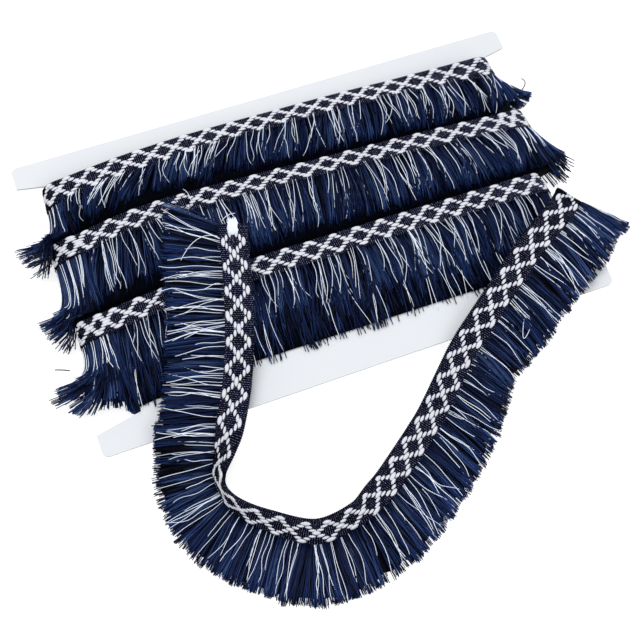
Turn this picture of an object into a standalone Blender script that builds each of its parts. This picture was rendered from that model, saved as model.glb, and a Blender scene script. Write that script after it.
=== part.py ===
"""A fringe trim wound in three rows round a notched card, with its loose tail.

The card lies flat, its long side along X. Each row is the trim wound round the
card's neck many times over: a braided heading along the row's upper edge and
its cut fringe below. The last turn of the lowest row comes off at the right
end and makes a loose U in front of the card, up to a cut end over the rows.

Sizes are in millimetres and become metres where a mesh is made. Z = 0 is the
surface that the back of the rows lies on. X = Y = 0 is the card's centre.
"""
import math

import bmesh
import bpy
from mathutils import Matrix, Vector

MM = 0.001
GAP = 0.3               # kept between pieces that touch
BEND_GAP = 0.4          # the same where both pieces bend

# The trim
HEADING_WIDTH = 12.0
HEADING_THICK = 1.3
FREE_MARGIN = 6.5       # from the middle of the diamond chain to the free edge
FRINGE_LENGTH = 22.0

# The card
CARD_LENGTH = 215.0
CARD_WIDTH = 124.0
CARD_THICK = 1.0
CARD_CORNER = 2.5       # radius of its outer corners
EAR_CORNER = 0.6        # radius of its ears' inner corners
EAR_HEIGHT = 9.2        # of the four ears, at their outer ends
NOTCH_DEPTH = 18.5
NOTCH_SLANT = 3.4       # the ears are this much taller at the notch's foot

# The winding: radii are measured from the card's middle plane
BACK_RADIUS = 8.8       # so the back turns lie flat at Z = 0
FRONT_RADIUS = 10.4
INNER_RADIUS = CARD_THICK / 2 + GAP
CARD_MIDDLE = BACK_RADIUS
NECK_HALF = CARD_LENGTH / 2 - NOTCH_DEPTH
BACK_SLOPE = 0.75       # how much less the headings slope on the back
DROOP_START = 50.0      # a row's left end droops from this far left of the middle
END_STEPS = 10          # stations round each end, an even number
FRONT_SPANS = 17        # spans of a row's heading along its front and its back
BACK_SPANS = 9
TOOTH = 7.0             # width of one tooth of a row's fringe
TOOTH_CUT = 1.4         # how much shorter the fringe is between two teeth
TOOTH_PEAK = 0.4        # where a tooth is longest, as a share of its width
NEXT_ROW_CLEAR = 1.2    # from the fringe's tips to the next row's heading

# The rows. chain: Y of the diamond chain at the middle; rise: slope along X;
# bow: how far the chain drops 90 mm from the middle; droop: how far it drops
# further 50 mm past the droop's start; seen: the heading's width along Y,
# less than its real width because it slopes towards the card at its free edge.
ROWS = (
    dict(name="row_1", chain=47.9, rise=-0.010, bow=3.8, droop=1.8, seen=9.2),
    dict(name="row_2", chain=22.4, rise=-0.040, bow=1.8, droop=6.8, seen=10.2),
    dict(name="row_3", chain=-11.7, rise=-0.010, bow=0.2, droop=4.7, seen=11.3),
)
# The rows' left and right ends. radius: of the wound end; flare: how far the
# fringe stands out past it; falls: whether it hangs outside the next row's end.
LEFT_ENDS = (
    dict(radius=10.5, flare=15.5, falls=True),
    dict(radius=14.5, flare=15.0, falls=True),
    dict(radius=14.5, flare=15.0, falls=True),
)
RIGHT_ENDS = (
    dict(radius=9.5, flare=7.0, falls=False),
    dict(radius=14.5, flare=8.0, falls=True),
    dict(radius=9.5, flare=-2.5, falls=True),
)

# A row's fringe in section: (share of the reach, radius), from its root to its tips
FRONT_FRINGE = ((0.0, 10.2), (0.30, 10.3), (0.60, 8.8), (0.88, 5.6), (0.96, 3.4), (1.0, 2.0))
BACK_FRINGE = ((0.0, 8.8), (0.30, 8.8), (0.60, 8.8), (0.88, 8.8), (0.96, 8.8), (1.0, 7.4))
# The lowest row's front turns end above its inner turns, which lie on the card
LOWEST_FRINGE = ((0.0, 10.2), (0.21, 10.3), (0.42, 8.4), (0.60, 4.6), (0.645, 2.7), (1.0, 1.7))
LOWEST_REACH = 28.0
# At a wound end the fringe fans out: (below the root, share of the flare)
END_FAN = ((0.0, 0.0), (12.0, 1.0), (16.5, 0.97), (20.5, 0.75), (24.5, 0.36))
FAN_CLEAR = 0.9         # from the fan's foot to the wound end it covers
BARE_FOOT = 4.0         # radius of the foot of a fan that covers no wound end
# How much of the fan a station has: (degrees from the end, radius, drop)
FAN_GROWTH = ((0.0, 1.0, 1.0), (20.0, 1.0, 0.8), (40.0, 1.0, 0.4), (60.0, 0.9, 0.0),
              (75.0, 0.35, 0.0), (90.0, 0.0, 0.0))

# The tail's route along its diamond chain. seat: height of the lower side of
# the heading; tilt: its free edge lifted, degrees; tips: height of the
# fringe's tips; lean: of the fringe, degrees, positive towards the cut end.
TAIL = (
    dict(x=105.6, y=-21.0, seat=8.5, tilt=0, tips=7.5, lean=-8),
    dict(x=103.4, y=-22.6, seat=15.5, tilt=0, tips=9.5, lean=-8),
    dict(x=99.2, y=-25.6, seat=19.8, tilt=0, tips=11.5, lean=-8),
    dict(x=92.5, y=-30.3, seat=20.5, tilt=0, tips=12.2, lean=-6),
    dict(x=77.0, y=-39.2, seat=19.6, tilt=0, tips=13.4, lean=2),
    dict(x=60.3, y=-50.9, seat=16.8, tilt=0, tips=9.0, lean=6),
    dict(x=44.2, y=-62.5, seat=13.6, tilt=0, tips=2.5, lean=-4),
    dict(x=36.7, y=-68.1, seat=12.2, tilt=0, tips=0.0, lean=-4),
    dict(x=30.4, y=-74.0, seat=8.6, tilt=0, tips=0.0, lean=-2),
    dict(x=17.4, y=-86.5, seat=2.8, tilt=0, tips=0.0, lean=10),
    dict(x=9.8, y=-92.5, seat=0.6, tilt=0, tips=0.0, lean=12),
    dict(x=3.8, y=-96.9, seat=0.0, tilt=0, tips=0.0, lean=12),
    dict(x=-7.0, y=-104.4, seat=0.0, tilt=0, tips=0.0, lean=10),
    dict(x=-14.6, y=-108.8, seat=0.0, tilt=18, tips=0.0, lean=10),
    dict(x=-25.2, y=-113.6, seat=0.0, tilt=42, tips=0.0, lean=6),
    dict(x=-42.2, y=-114.5, seat=0.0, tilt=42, tips=0.0, lean=0),
    dict(x=-58.3, y=-104.2, seat=0.0, tilt=56, tips=0.0, lean=0),
    dict(x=-67.2, y=-95.0, seat=0.0, tilt=72, tips=0.0, lean=0),
    dict(x=-70.3, y=-87.0, seat=0.3, tilt=80, tips=0.0, lean=-4),
    dict(x=-69.3, y=-80.0, seat=2.6, tilt=66, tips=4.5, lean=-14),
    dict(x=-64.6, y=-73.2, seat=9.4, tilt=40, tips=13.0, lean=-20),
    dict(x=-60.0, y=-66.5, seat=12.8, tilt=16, tips=13.0, lean=-14),
    dict(x=-51.8, y=-51.5, seat=14.6, tilt=2, tips=13.0, lean=-4),
    dict(x=-45.0, y=-34.3, seat=19.2, tilt=0, tips=19.9, lean=0),
    dict(x=-39.3, y=-15.8, seat=20.2, tilt=0, tips=20.0, lean=4),
    dict(x=-36.0, y=-3.0, seat=20.2, tilt=0, tips=20.0, lean=12),
    dict(x=-32.6, y=8.4, seat=19.8, tilt=0, tips=20.2, lean=26),
)
TAIL_STEP = 4.0         # between the heading's stations, about
TAIL_TOOTH = 7.5        # width of one tooth of the tail's fringe
TOOTH_STATIONS = 3      # along one tooth, the first of them between two teeth
TAIL_CUT = 4.0          # how much shorter the fringe is between two teeth
ROOT_THICK = 2.0        # the fringe's thickness at its root and at its tips
TIP_THICK = 1.2
FINE_STEPS = 40         # steps between two rows of the table, to measure along it

HEADING_BLUE = (0.020, 0.022, 0.045, 1.0)
FRINGE_BLUE = (0.010, 0.026, 0.085, 1.0)
CARD_WHITE = (0.88, 0.89, 0.92, 1.0)


def clear_scene():
    """Remove whatever objects the open file holds."""
    for obj in list(bpy.data.objects):
        bpy.data.objects.remove(obj)


def material(name, colour, roughness):
    """A plain non-metallic Principled material."""
    made = bpy.data.materials.new(name)
    made.use_nodes = True
    shader = made.node_tree.nodes["Principled BSDF"]
    shader.inputs["Base Color"].default_value = colour
    shader.inputs["Roughness"].default_value = roughness
    shader.inputs["Metallic"].default_value = 0.0
    return made


def lerp(start, end, share):
    """The value a share of the way from start to end."""
    return start + (end - start) * share


def add_object(name, mesh_builder, finish):
    """Make a named object of a bmesh whose sizes are in millimetres."""
    bmesh.ops.recalc_face_normals(mesh_builder, faces=mesh_builder.faces)
    bmesh.ops.scale(mesh_builder, vec=(MM, MM, MM), verts=mesh_builder.verts)
    mesh = bpy.data.meshes.new(name)
    mesh_builder.to_mesh(mesh)
    mesh_builder.free()
    mesh.materials.append(finish)
    obj = bpy.data.objects.new(name, mesh)
    bpy.context.collection.objects.link(obj)
    return obj


def loft(sections, closed):
    """Skin a list of like closed sections, as a ring or with two end caps."""
    skin = bmesh.new()
    loops = [[skin.verts.new(point) for point in section] for section in sections]
    count = len(loops[0])
    pairs = list(zip(loops, loops[1:]))
    if closed:
        pairs.append((loops[-1], loops[0]))
    for first, second in pairs:
        for i in range(count):
            j = (i + 1) % count
            skin.faces.new((first[i], first[j], second[j], second[i]))
    if not closed:
        skin.faces.new(loops[0])
        skin.faces.new(list(reversed(loops[-1])))
    return skin


# ---------------------------------------------------------------- the card


def card_outline():
    """The card's corners, counter-clockwise, as (x, y, corner radius)."""
    half_x = CARD_LENGTH / 2
    half_y = CARD_WIDTH / 2
    ear_y = half_y - EAR_HEIGHT
    foot_y = ear_y - NOTCH_SLANT
    right = [(half_x, -half_y, CARD_CORNER), (half_x, -ear_y, EAR_CORNER),
             (NECK_HALF, -foot_y, 0.0), (NECK_HALF, foot_y, 0.0),
             (half_x, ear_y, EAR_CORNER), (half_x, half_y, CARD_CORNER)]
    left = [(-x, y, radius) for x, y, radius in reversed(right)]
    return right + left


def rounded(corners, steps=4):
    """An outline with each corner turned into an arc of its radius."""
    points = []
    for i, (x, y, radius) in enumerate(corners):
        corner = Vector((x, y))
        if radius == 0.0:
            points.append(corner)
            continue
        to_last = (Vector(corners[i - 1][:2]) - corner).normalized()
        to_next = (Vector(corners[(i + 1) % len(corners)][:2]) - corner).normalized()
        half_angle = to_last.angle(to_next) / 2
        centre = corner + (to_last + to_next).normalized() * (radius / math.sin(half_angle))
        start = corner + to_last * (radius / math.tan(half_angle)) - centre
        end = corner + to_next * (radius / math.tan(half_angle)) - centre
        turn = start.angle_signed(end)
        for step in range(steps + 1):
            spoke = Matrix.Rotation(-turn * step / steps, 2) @ start
            points.append(centre + spoke)
    return points


def build_card(finish):
    """The notched card: its outline raised to the card's thickness."""
    low = CARD_MIDDLE - CARD_THICK / 2
    sheet = bmesh.new()
    corners = [sheet.verts.new((p.x, p.y, low)) for p in rounded(card_outline())]
    face = sheet.faces.new(corners)
    raised = bmesh.ops.extrude_face_region(sheet, geom=[face])
    tops = [item for item in raised["geom"] if isinstance(item, bmesh.types.BMVert)]
    bmesh.ops.translate(sheet, vec=(0.0, 0.0, CARD_THICK), verts=tops)
    return add_object("card", sheet, finish)


# ---------------------------------------------------------------- the rows


def chain_y(row, x):
    """Y of a row's diamond chain at x."""
    droop = row["droop"] * (max(0.0, -x - DROOP_START) / 50.0) ** 2
    return row["chain"] + row["rise"] * x - row["bow"] * (x / 90.0) ** 2 - droop


def free_edge_y(row, x):
    """Y of a row's free heading edge."""
    return chain_y(row, x) + row["seen"] * FREE_MARGIN / HEADING_WIDTH


def root_y(row, x):
    """Y of a row's fringe side."""
    return free_edge_y(row, x) - row["seen"]


def fringe_reach(index, x):
    """How far the fringe of a row reaches below its root."""
    if index == len(ROWS) - 1:
        return LOWEST_REACH
    return root_y(ROWS[index], x) - free_edge_y(ROWS[index + 1], x) - NEXT_ROW_CLEAR


def end_of(index, x):
    """The end of a row on the side of x."""
    return (LEFT_ENDS if x < 0.0 else RIGHT_ENDS)[index]


def winding(front_xs, back_xs):
    """Stations once round the card's neck: (x, angle), front first.

    The angle is 90 degrees on the front, 0 or 180 at the ends and -90 on the back.
    """
    stations = [(x, 90.0) for x in front_xs]
    for step in range(1, END_STEPS):
        stations.append((NECK_HALF, 90.0 - 180.0 * step / END_STEPS))
    stations += [(x, -90.0) for x in reversed(back_xs)]
    for step in range(1, END_STEPS):
        stations.append((-NECK_HALF, 270.0 - 180.0 * step / END_STEPS))
    return stations


def evenly(count):
    """Even X places along the neck, both ends included."""
    return [lerp(-NECK_HALF, NECK_HALF, i / count) for i in range(count + 1)]


def place(x, angle, y, radius):
    """A point of the winding: out from the card's middle plane by a radius."""
    turn = math.radians(angle)
    return (x + radius * math.cos(turn), y, CARD_MIDDLE + radius * math.sin(turn))


def oval(angle, front, end, back):
    """The radius at an angle of an oval that is as tall as front or back."""
    rise = math.sin(math.radians(angle))
    run = math.cos(math.radians(angle))
    flat = back if rise < 0.0 else front
    return flat * end / math.hypot(flat * run, end * rise)


def fan_growth(angle, column):
    """How much of the end's fan, by radius (1) or drop (2), an angle has."""
    from_end = math.degrees(abs(math.asin(math.sin(math.radians(angle)))))
    for low, high in zip(FAN_GROWTH, FAN_GROWTH[1:]):
        if from_end <= high[0]:
            return lerp(low[column], high[column], (from_end - low[0]) / (high[0] - low[0]))
    return 0.0


def heading_section(index, x, angle):
    """Four corners of a row's stacked headings."""
    row = ROWS[index]
    end = end_of(index, x)["radius"]
    free = free_edge_y(row, x)
    root = root_y(row, x)
    slope = math.sqrt(HEADING_WIDTH ** 2 - row["seen"] ** 2)
    free_radius = oval(angle, FRONT_RADIUS - slope, end - 1.0, BACK_RADIUS - BACK_SLOPE * slope)
    root_radius = oval(angle, FRONT_RADIUS, end, BACK_RADIUS)
    return [place(x, angle, free, INNER_RADIUS), place(x, angle, free, free_radius),
            place(x, angle, root, root_radius), place(x, angle, root, INNER_RADIUS)]


def build_row_heading(index, finish):
    """A row's headings, wound round the neck, as one ring."""
    stations = winding(evenly(FRONT_SPANS), evenly(BACK_SPANS))
    sections = [heading_section(index, x, angle) for x, angle in stations]
    return add_object(ROWS[index]["name"] + "_heading", loft(sections, closed=True), finish)


def toothed_xs():
    """X places along the front: one between two teeth, one on a tooth, and so on."""
    teeth = round(2 * NECK_HALF / TOOTH)
    lefts = evenly(teeth)
    peaks = [lerp(left, right, TOOTH_PEAK) for left, right in zip(lefts, lefts[1:])]
    return sorted(lefts + peaks)


def fringe_section(index, x, angle, between_teeth):
    """Eight corners of a row's wound fringe."""
    row = ROWS[index]
    end = end_of(index, x)
    lowest = index == len(ROWS) - 1
    root = root_y(row, x) - GAP
    reach = fringe_reach(index, x) - GAP
    cut = TOOTH_CUT if between_teeth else 0.0
    on_back = math.sin(math.radians(angle)) < 0.0
    flat = BACK_FRINGE if on_back else LOWEST_FRINGE if lowest else FRONT_FRINGE
    height = BACK_RADIUS if on_back else FRONT_RADIUS
    wide = fan_growth(angle, 1)
    low = fan_growth(angle, 2) if end["falls"] else 0.0
    section = [place(x, angle, root, INNER_RADIUS)]
    for (share, flat_radius), (fan_down, fan_share) in zip(flat, END_FAN):
        fan_radius = oval(angle, height, end["radius"] + fan_share * end["flare"], height)
        down = lerp(share * (reach - cut), max(fan_down, share * reach), low)
        section.append(place(x, angle, root - down, lerp(flat_radius, fan_radius, wide)))
    foot_radius = BARE_FOOT
    if end["falls"] and not lowest:
        foot_radius = oval(angle, height, end_of(index + 1, x)["radius"], height) + FAN_CLEAR
    section.append(place(x, angle, root - reach + cut, lerp(flat[-1][1], foot_radius, wide)))
    section.append(place(x, angle, root - reach + cut, INNER_RADIUS))
    return section


def build_row_fringe(index, finish):
    """A row's fringe, wound round the neck and fanned at its ends, as one comb."""
    front_xs = toothed_xs()
    stations = winding(front_xs, evenly(BACK_SPANS))
    sections = []
    for i, (x, angle) in enumerate(stations):
        between_teeth = i < len(front_xs) and i % 2 == 0
        sections.append(fringe_section(index, x, angle, between_teeth))
    return add_object(ROWS[index]["name"] + "_fringe", loft(sections, closed=True), finish)


# ---------------------------------------------------------------- the tail


def tail_value(column, where):
    """A column of the tail's table, smoothly between its rows."""
    last = len(TAIL) - 1
    i = min(int(where), last - 1)
    share = where - i
    before, start, end, after = (TAIL[max(0, min(last, i + k))][column] for k in (-1, 0, 1, 2))
    slope_in = (end - before) / 2
    slope_out = (after - start) / 2
    a = 2 * start - 2 * end + slope_in + slope_out
    b = -3 * start + 3 * end - 2 * slope_in - slope_out
    return ((a * share + b) * share + slope_in) * share + start


def tail_point(where):
    """The chain's place at a place of the table, at its heading's lower side."""
    return Vector((tail_value("x", where), tail_value("y", where), max(0.0, tail_value("seat", where))))


def tail_places(spacing):
    """Places in the table that lie evenly along the route."""
    fine = [i / FINE_STEPS for i in range(FINE_STEPS * (len(TAIL) - 1) + 1)]
    points = [tail_point(where) for where in fine]
    run = [0.0]
    for first, second in zip(points, points[1:]):
        run.append(run[-1] + (second - first).length)
    count = round(run[-1] / spacing)
    places = []
    i = 0
    for step in range(count + 1):
        target = run[-1] * step / count
        while i < len(run) - 2 and run[i + 1] < target:
            i += 1
        places.append(lerp(fine[i], fine[i + 1], (target - run[i]) / (run[i + 1] - run[i])))
    return places


def tail_frame(where):
    """The heading's directions at a place: along, out (level), width and face."""
    first = tail_point(max(0.0, where - 1 / FINE_STEPS))
    second = tail_point(min(len(TAIL) - 1.0, where + 1 / FINE_STEPS))
    along = (second - first).normalized()
    out = Vector((-along.y, along.x, 0.0)).normalized()
    up = along.cross(out)
    tilt = math.radians(max(0.0, tail_value("tilt", where)))
    width = out * math.cos(tilt) - up * math.sin(tilt)
    face = up * math.cos(tilt) + out * math.sin(tilt)
    return along, out, width, face


def tail_heading_section(where):
    """Four corners of the tail's heading, its lower edge on its seat."""
    width, face = tail_frame(where)[2:]
    fringe_side = HEADING_WIDTH - FREE_MARGIN
    corners = [width * -FREE_MARGIN - face * HEADING_THICK, width * -FREE_MARGIN,
               width * fringe_side, width * fringe_side - face * HEADING_THICK]
    chain = tail_point(where)
    chain.z -= min(corners[2].z, corners[3].z)
    return [chain + corner for corner in corners]


def build_tail_heading(finish):
    """The tail's heading: one ribbon along its route."""
    sections = [tail_heading_section(where) for where in tail_places(TAIL_STEP)]
    return add_object("tail_heading", loft(sections, closed=False), finish)


def tail_fringe_section(where, length):
    """Six corners of the tail's fringe, from its root to its tips."""
    along, out = tail_frame(where)[:2]
    corners = tail_heading_section(where)
    seat = max(0.0, min(corners[2].z, corners[3].z))
    tips = max(0.0, tail_value("tips", where))
    lean = math.radians(tail_value("lean", where))
    flat_along = Vector((along.x, along.y, 0.0)).normalized()
    way = out * math.cos(lean) + flat_along * math.sin(lean)
    root = corners[2] + out * BEND_GAP
    reach = math.sqrt(length ** 2 - (seat - tips) ** 2)
    upper = []
    lower = []
    for share in (0.0, 0.5, 1.0):
        point = root + way * (reach * share)
        point.z = lerp(seat, tips, share)
        lower.append(point)
        upper.append(point + Vector((0.0, 0.0, lerp(ROOT_THICK, TIP_THICK, share))))
    return upper + list(reversed(lower))


def build_tail_fringe(finish):
    """The tail's cut fringe: one comb along its heading."""
    sections = []
    for i, where in enumerate(tail_places(TAIL_TOOTH / TOOTH_STATIONS)):
        length = FRINGE_LENGTH - (TAIL_CUT if i % TOOTH_STATIONS == 0 else 0.0)
        sections.append(tail_fringe_section(where, length))
    return add_object("tail_fringe", loft(sections, closed=False), finish)


def main():
    """Build the card, the three rows and the tail."""
    clear_scene()
    card_finish = material("white_card", CARD_WHITE, 0.7)
    heading_finish = material("woven_heading", HEADING_BLUE, 0.85)
    fringe_finish = material("fringe_yarn", FRINGE_BLUE, 0.8)
    build_card(card_finish)
    for index in range(len(ROWS)):
        build_row_heading(index, heading_finish)
        build_row_fringe(index, fringe_finish)
    build_tail_heading(heading_finish)
    build_tail_fringe(fringe_finish)


main()
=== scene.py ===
"""The looks of a fringe trim wound in three rows on a notched card.

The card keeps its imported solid. Each row becomes one long braid wound round
the card's neck, with its diamond chain of raised floats, its cut yarns and its
loose white threads. The tail comes off the lowest row and lies in a U in
front. Sizes are in millimetres and become metres where a mesh is made.
"""

import logging
import math
from collections.abc import Callable
from dataclasses import dataclass, replace
from enum import Enum

import bpy
import numpy as np
from mathutils import Matrix, Vector


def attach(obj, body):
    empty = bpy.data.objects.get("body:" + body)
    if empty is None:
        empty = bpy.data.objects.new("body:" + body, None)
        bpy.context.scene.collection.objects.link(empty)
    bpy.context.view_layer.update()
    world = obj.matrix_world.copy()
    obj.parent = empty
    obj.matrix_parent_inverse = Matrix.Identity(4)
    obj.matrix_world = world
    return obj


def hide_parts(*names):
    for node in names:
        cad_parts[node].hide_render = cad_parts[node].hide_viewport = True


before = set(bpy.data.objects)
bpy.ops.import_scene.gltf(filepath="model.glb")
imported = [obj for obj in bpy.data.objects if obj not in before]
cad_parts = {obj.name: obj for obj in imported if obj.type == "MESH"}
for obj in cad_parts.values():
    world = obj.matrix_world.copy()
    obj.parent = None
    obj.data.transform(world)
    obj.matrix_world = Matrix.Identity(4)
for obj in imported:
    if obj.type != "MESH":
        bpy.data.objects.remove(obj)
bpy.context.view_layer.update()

MM = 0.001
BAKE_MAP = "OFBake"
LAY_MAP = "Lay"
log = logging.getLogger("fringe_trim")

Colour = tuple[float, float, float, float]
Table = tuple[tuple[float, ...], ...]

PAINTED_GLOW_WHITE = (0.78, 0.87, 1.0, 1.0)     # colour of the painted glow that brightens thin white yarn
FULL_TURN = 2 * math.pi


# ------------------------------------------------------------ shader nodes


@dataclass(frozen=True)
class Value:
    """A shader socket that arithmetic turns into Math nodes."""

    kit: "Nodes"
    socket: bpy.types.NodeSocket

    def __add__(self, other: "Value | float") -> "Value":
        """The sum."""
        return self.kit.math("ADD", self, other)

    def __radd__(self, other: float) -> "Value":
        """The sum, with a number first."""
        return self.kit.math("ADD", other, self)

    def __sub__(self, other: "Value | float") -> "Value":
        """The difference."""
        return self.kit.math("SUBTRACT", self, other)

    def __rsub__(self, other: float) -> "Value":
        """The difference from a number."""
        return self.kit.math("SUBTRACT", other, self)

    def __mul__(self, other: "Value | float") -> "Value":
        """The product."""
        return self.kit.math("MULTIPLY", self, other)

    def __rmul__(self, other: float) -> "Value":
        """The product, with a number first."""
        return self.kit.math("MULTIPLY", other, self)

    def __pow__(self, other: float) -> "Value":
        """The power."""
        return self.kit.math("POWER", self, other)

    def wave(self) -> "Value":
        """A cosine wave between 0 and 1."""
        return self.kit.math("COSINE", self) * 0.5 + 0.5

    def steps(self) -> "Value":
        """The whole number below."""
        return self.kit.math("FLOOR", self)

    def over(self, limit: float) -> "Value":
        """1 where it is over a limit, otherwise 0."""
        return self.kit.math("GREATER_THAN", self, limit)


class Nodes:
    """The node tree of one material, with its Principled shader."""

    def __init__(self, name: str, roughness: float, **constants: float | Colour) -> None:
        """Start a material.

        Args:
            name: the material's name.
            roughness: the shader's roughness where no node drives it.
            constants: other sockets of the shader, underscores for spaces.
        """
        self.material = bpy.data.materials.new(name)
        self.material.use_nodes = True
        self.tree = self.material.node_tree
        self.shader = self.tree.nodes["Principled BSDF"]
        self.shader.inputs["Roughness"].default_value = roughness
        for socket, value in constants.items():
            self.shader.inputs[socket.replace("_", " ")].default_value = value

    def node(self, kind: str, settings: dict | None = None, inputs: dict | None = None) -> bpy.types.Node:
        """Add a node.

        Args:
            kind: the node's type.
            settings: its own settings, set first; "stops" are a ramp's stops.
            inputs: a value or a link for each socket, by name or number.

        Returns:
            The new node.
        """
        made = self.tree.nodes.new(kind)
        for key, value in (settings or {}).items():
            if key == "stops":
                self.set_stops(made.color_ramp, value)
            else:
                setattr(made, key, value)
        for key, value in (inputs or {}).items():
            self.feed(made.inputs[key], value)
        return made

    @staticmethod
    def set_stops(ramp: bpy.types.ColorRamp, stops: tuple[tuple[float, Colour], ...]) -> None:
        """Give a ramp its stops.

        Args:
            ramp: the ramp.
            stops: a place and a colour for each, in order.
        """
        while len(ramp.elements) < len(stops):
            ramp.elements.new(1.0)
        for element, (place, colour) in zip(ramp.elements, stops):
            element.position = place
            element.color = colour

    def feed(self, socket: bpy.types.NodeSocket, value: "Value | bpy.types.NodeSocket | float") -> None:
        """Link a socket or set its value.

        Args:
            socket: the input socket.
            value: what feeds it, an output or a constant.
        """
        source = value.socket if isinstance(value, Value) else value
        if isinstance(source, bpy.types.NodeSocket):
            self.tree.links.new(source, socket)
        else:
            socket.default_value = source

    def math(self, operation: str, *terms: "Value | float") -> Value:
        """One Math node on up to three terms."""
        made = self.node("ShaderNodeMath", {"operation": operation}, dict(enumerate(terms)))
        return Value(self, made.outputs["Value"])

    def mixed(self, share: "Value | float", first: object, second: object) -> bpy.types.NodeSocket:
        """The colour a share of the way from the first to the second."""
        made = self.node("ShaderNodeMix", {"data_type": "RGBA"}, {0: share, 6: first, 7: second})
        return made.outputs[2]

    def shaded(self, colour: bpy.types.NodeSocket, shade: Value) -> bpy.types.NodeSocket:
        """A colour made darker or lighter by a number."""
        made = self.node("ShaderNodeVectorMath", {"operation": "SCALE"}, {"Vector": colour, "Scale": shade})
        return made.outputs["Vector"]

    def noise(self, x: "Value | float", y: "Value | float", z: "Value | float", detail: float) -> Value:
        """Noise at a point.

        Args:
            x, y, z: the point, in units of about one blotch.
            detail: how many finer layers it has.

        Returns:
            A value from 0 to 1.
        """
        place = self.node("ShaderNodeCombineXYZ", inputs={"X": x, "Y": y, "Z": z})
        sockets = {"Vector": place.outputs["Vector"], "Scale": 1.0, "Detail": detail}
        return Value(self, self.node("ShaderNodeTexNoise", inputs=sockets).outputs["Fac"])

    def map_place(self, name: str) -> tuple[Value, Value]:
        """Read a UV map.

        Args:
            name: the map's name.

        Returns:
            Its two coordinates.
        """
        source = self.node("ShaderNodeUVMap", {"uv_map": name})
        parts = self.node("ShaderNodeSeparateXYZ", inputs={"Vector": source.outputs["UV"]})
        return Value(self, parts.outputs["X"]), Value(self, parts.outputs["Y"])

    def object_place(self) -> tuple[Value, Value, Value]:
        """Read the object coordinates.

        Returns:
            X, Y and Z, in metres.
        """
        source = self.node("ShaderNodeTexCoord")
        parts = self.node("ShaderNodeSeparateXYZ", inputs={"Vector": source.outputs["Object"]})
        return tuple(Value(self, parts.outputs[axis]) for axis in "XYZ")

    def finish(self, colour: bpy.types.NodeSocket, roughness: Value, height: Value, depth: float) -> None:
        """Feed the shader its colour, its roughness and a bump.

        Args:
            colour: the surface's colour.
            roughness: its roughness.
            height: the bump's height, from 0 to 1.
            depth: what a height of 1 stands for, in millimetres.
        """
        sockets = {"Height": height, "Distance": depth * MM, "Strength": 1.0}
        bump = self.node("ShaderNodeBump", inputs=sockets)
        self.feed(self.shader.inputs["Base Color"], colour)
        self.feed(self.shader.inputs["Roughness"], roughness)
        self.feed(self.shader.inputs["Normal"], bump.outputs["Normal"])


# ---------------------------------------------------------------- finishes


@dataclass(frozen=True)
class YarnFinish:
    """Twisted yarn. Its map's U is the yarn's tone, its V runs from root to tip."""

    name: str
    tones: tuple[tuple[float, Colour], ...]
    root_shade: float
    tip_shade: float
    roughness: float
    gloss: float
    twists: float = 30.0
    twist_depth: float = 0.05
    glow: float = 0.0               # painted glow that brightens thin white yarn

    def build(self) -> bpy.types.Material:
        """Make the material.

        Returns:
            The material.
        """
        # Any glow is painted light: an emission that brightens the yarn, though it is no lamp.
        kit = Nodes(self.name, self.roughness, Specular_IOR_Level=self.gloss,
                    Emission_Strength=self.glow, Emission_Color=PAINTED_GLOW_WHITE)
        tone, along = kit.map_place(BAKE_MAP)
        fleck = kit.noise(tone * 310.0, along * 6.0, 0.0, 2.0)
        once_round = FULL_TURN / YARN_SIDE_STEP / YARN_SIDES
        twist = (tone * once_round + along * (FULL_TURN * self.twists)).wave()
        ramp = kit.node("ShaderNodeValToRGB", {"stops": self.tones}, {"Fac": tone + (fleck - 0.5) * 0.22})
        # Painted shade darkens the roots under the heading; a negative tip_shade paints a highlight on the
        # cut tips.
        shade = 1.0 - self.root_shade * (1.0 - along) ** 3.0 - self.tip_shade * along ** 4.0
        colour = kit.shaded(ramp.outputs["Color"], shade * (0.86 + 0.28 * twist))
        kit.finish(colour, self.roughness + (fleck - 0.5) * 0.2, twist, self.twist_depth)
        return kit.material


@dataclass(frozen=True)
class MassFinish:
    """Many yarns lying side by side. The map's U runs across them, its V along."""

    name: str
    dark: Colour
    light: Colour
    yarns: float

    def build(self) -> bpy.types.Material:
        """Make the material.

        Returns:
            The material.
        """
        kit = Nodes(self.name, 0.8, Specular_IOR_Level=0.05)
        across, along = kit.map_place(BAKE_MAP)
        streak = kit.noise(across * self.yarns, along * 5.0, 0.0, 3.0)
        yarn = (across * (FULL_TURN * self.yarns) + streak * 9.0).wave()
        colour = kit.mixed(yarn * streak, self.dark, self.light)
        kit.finish(colour, 0.8 + streak * 0.1, yarn, 0.35)
        return kit.material


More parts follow.
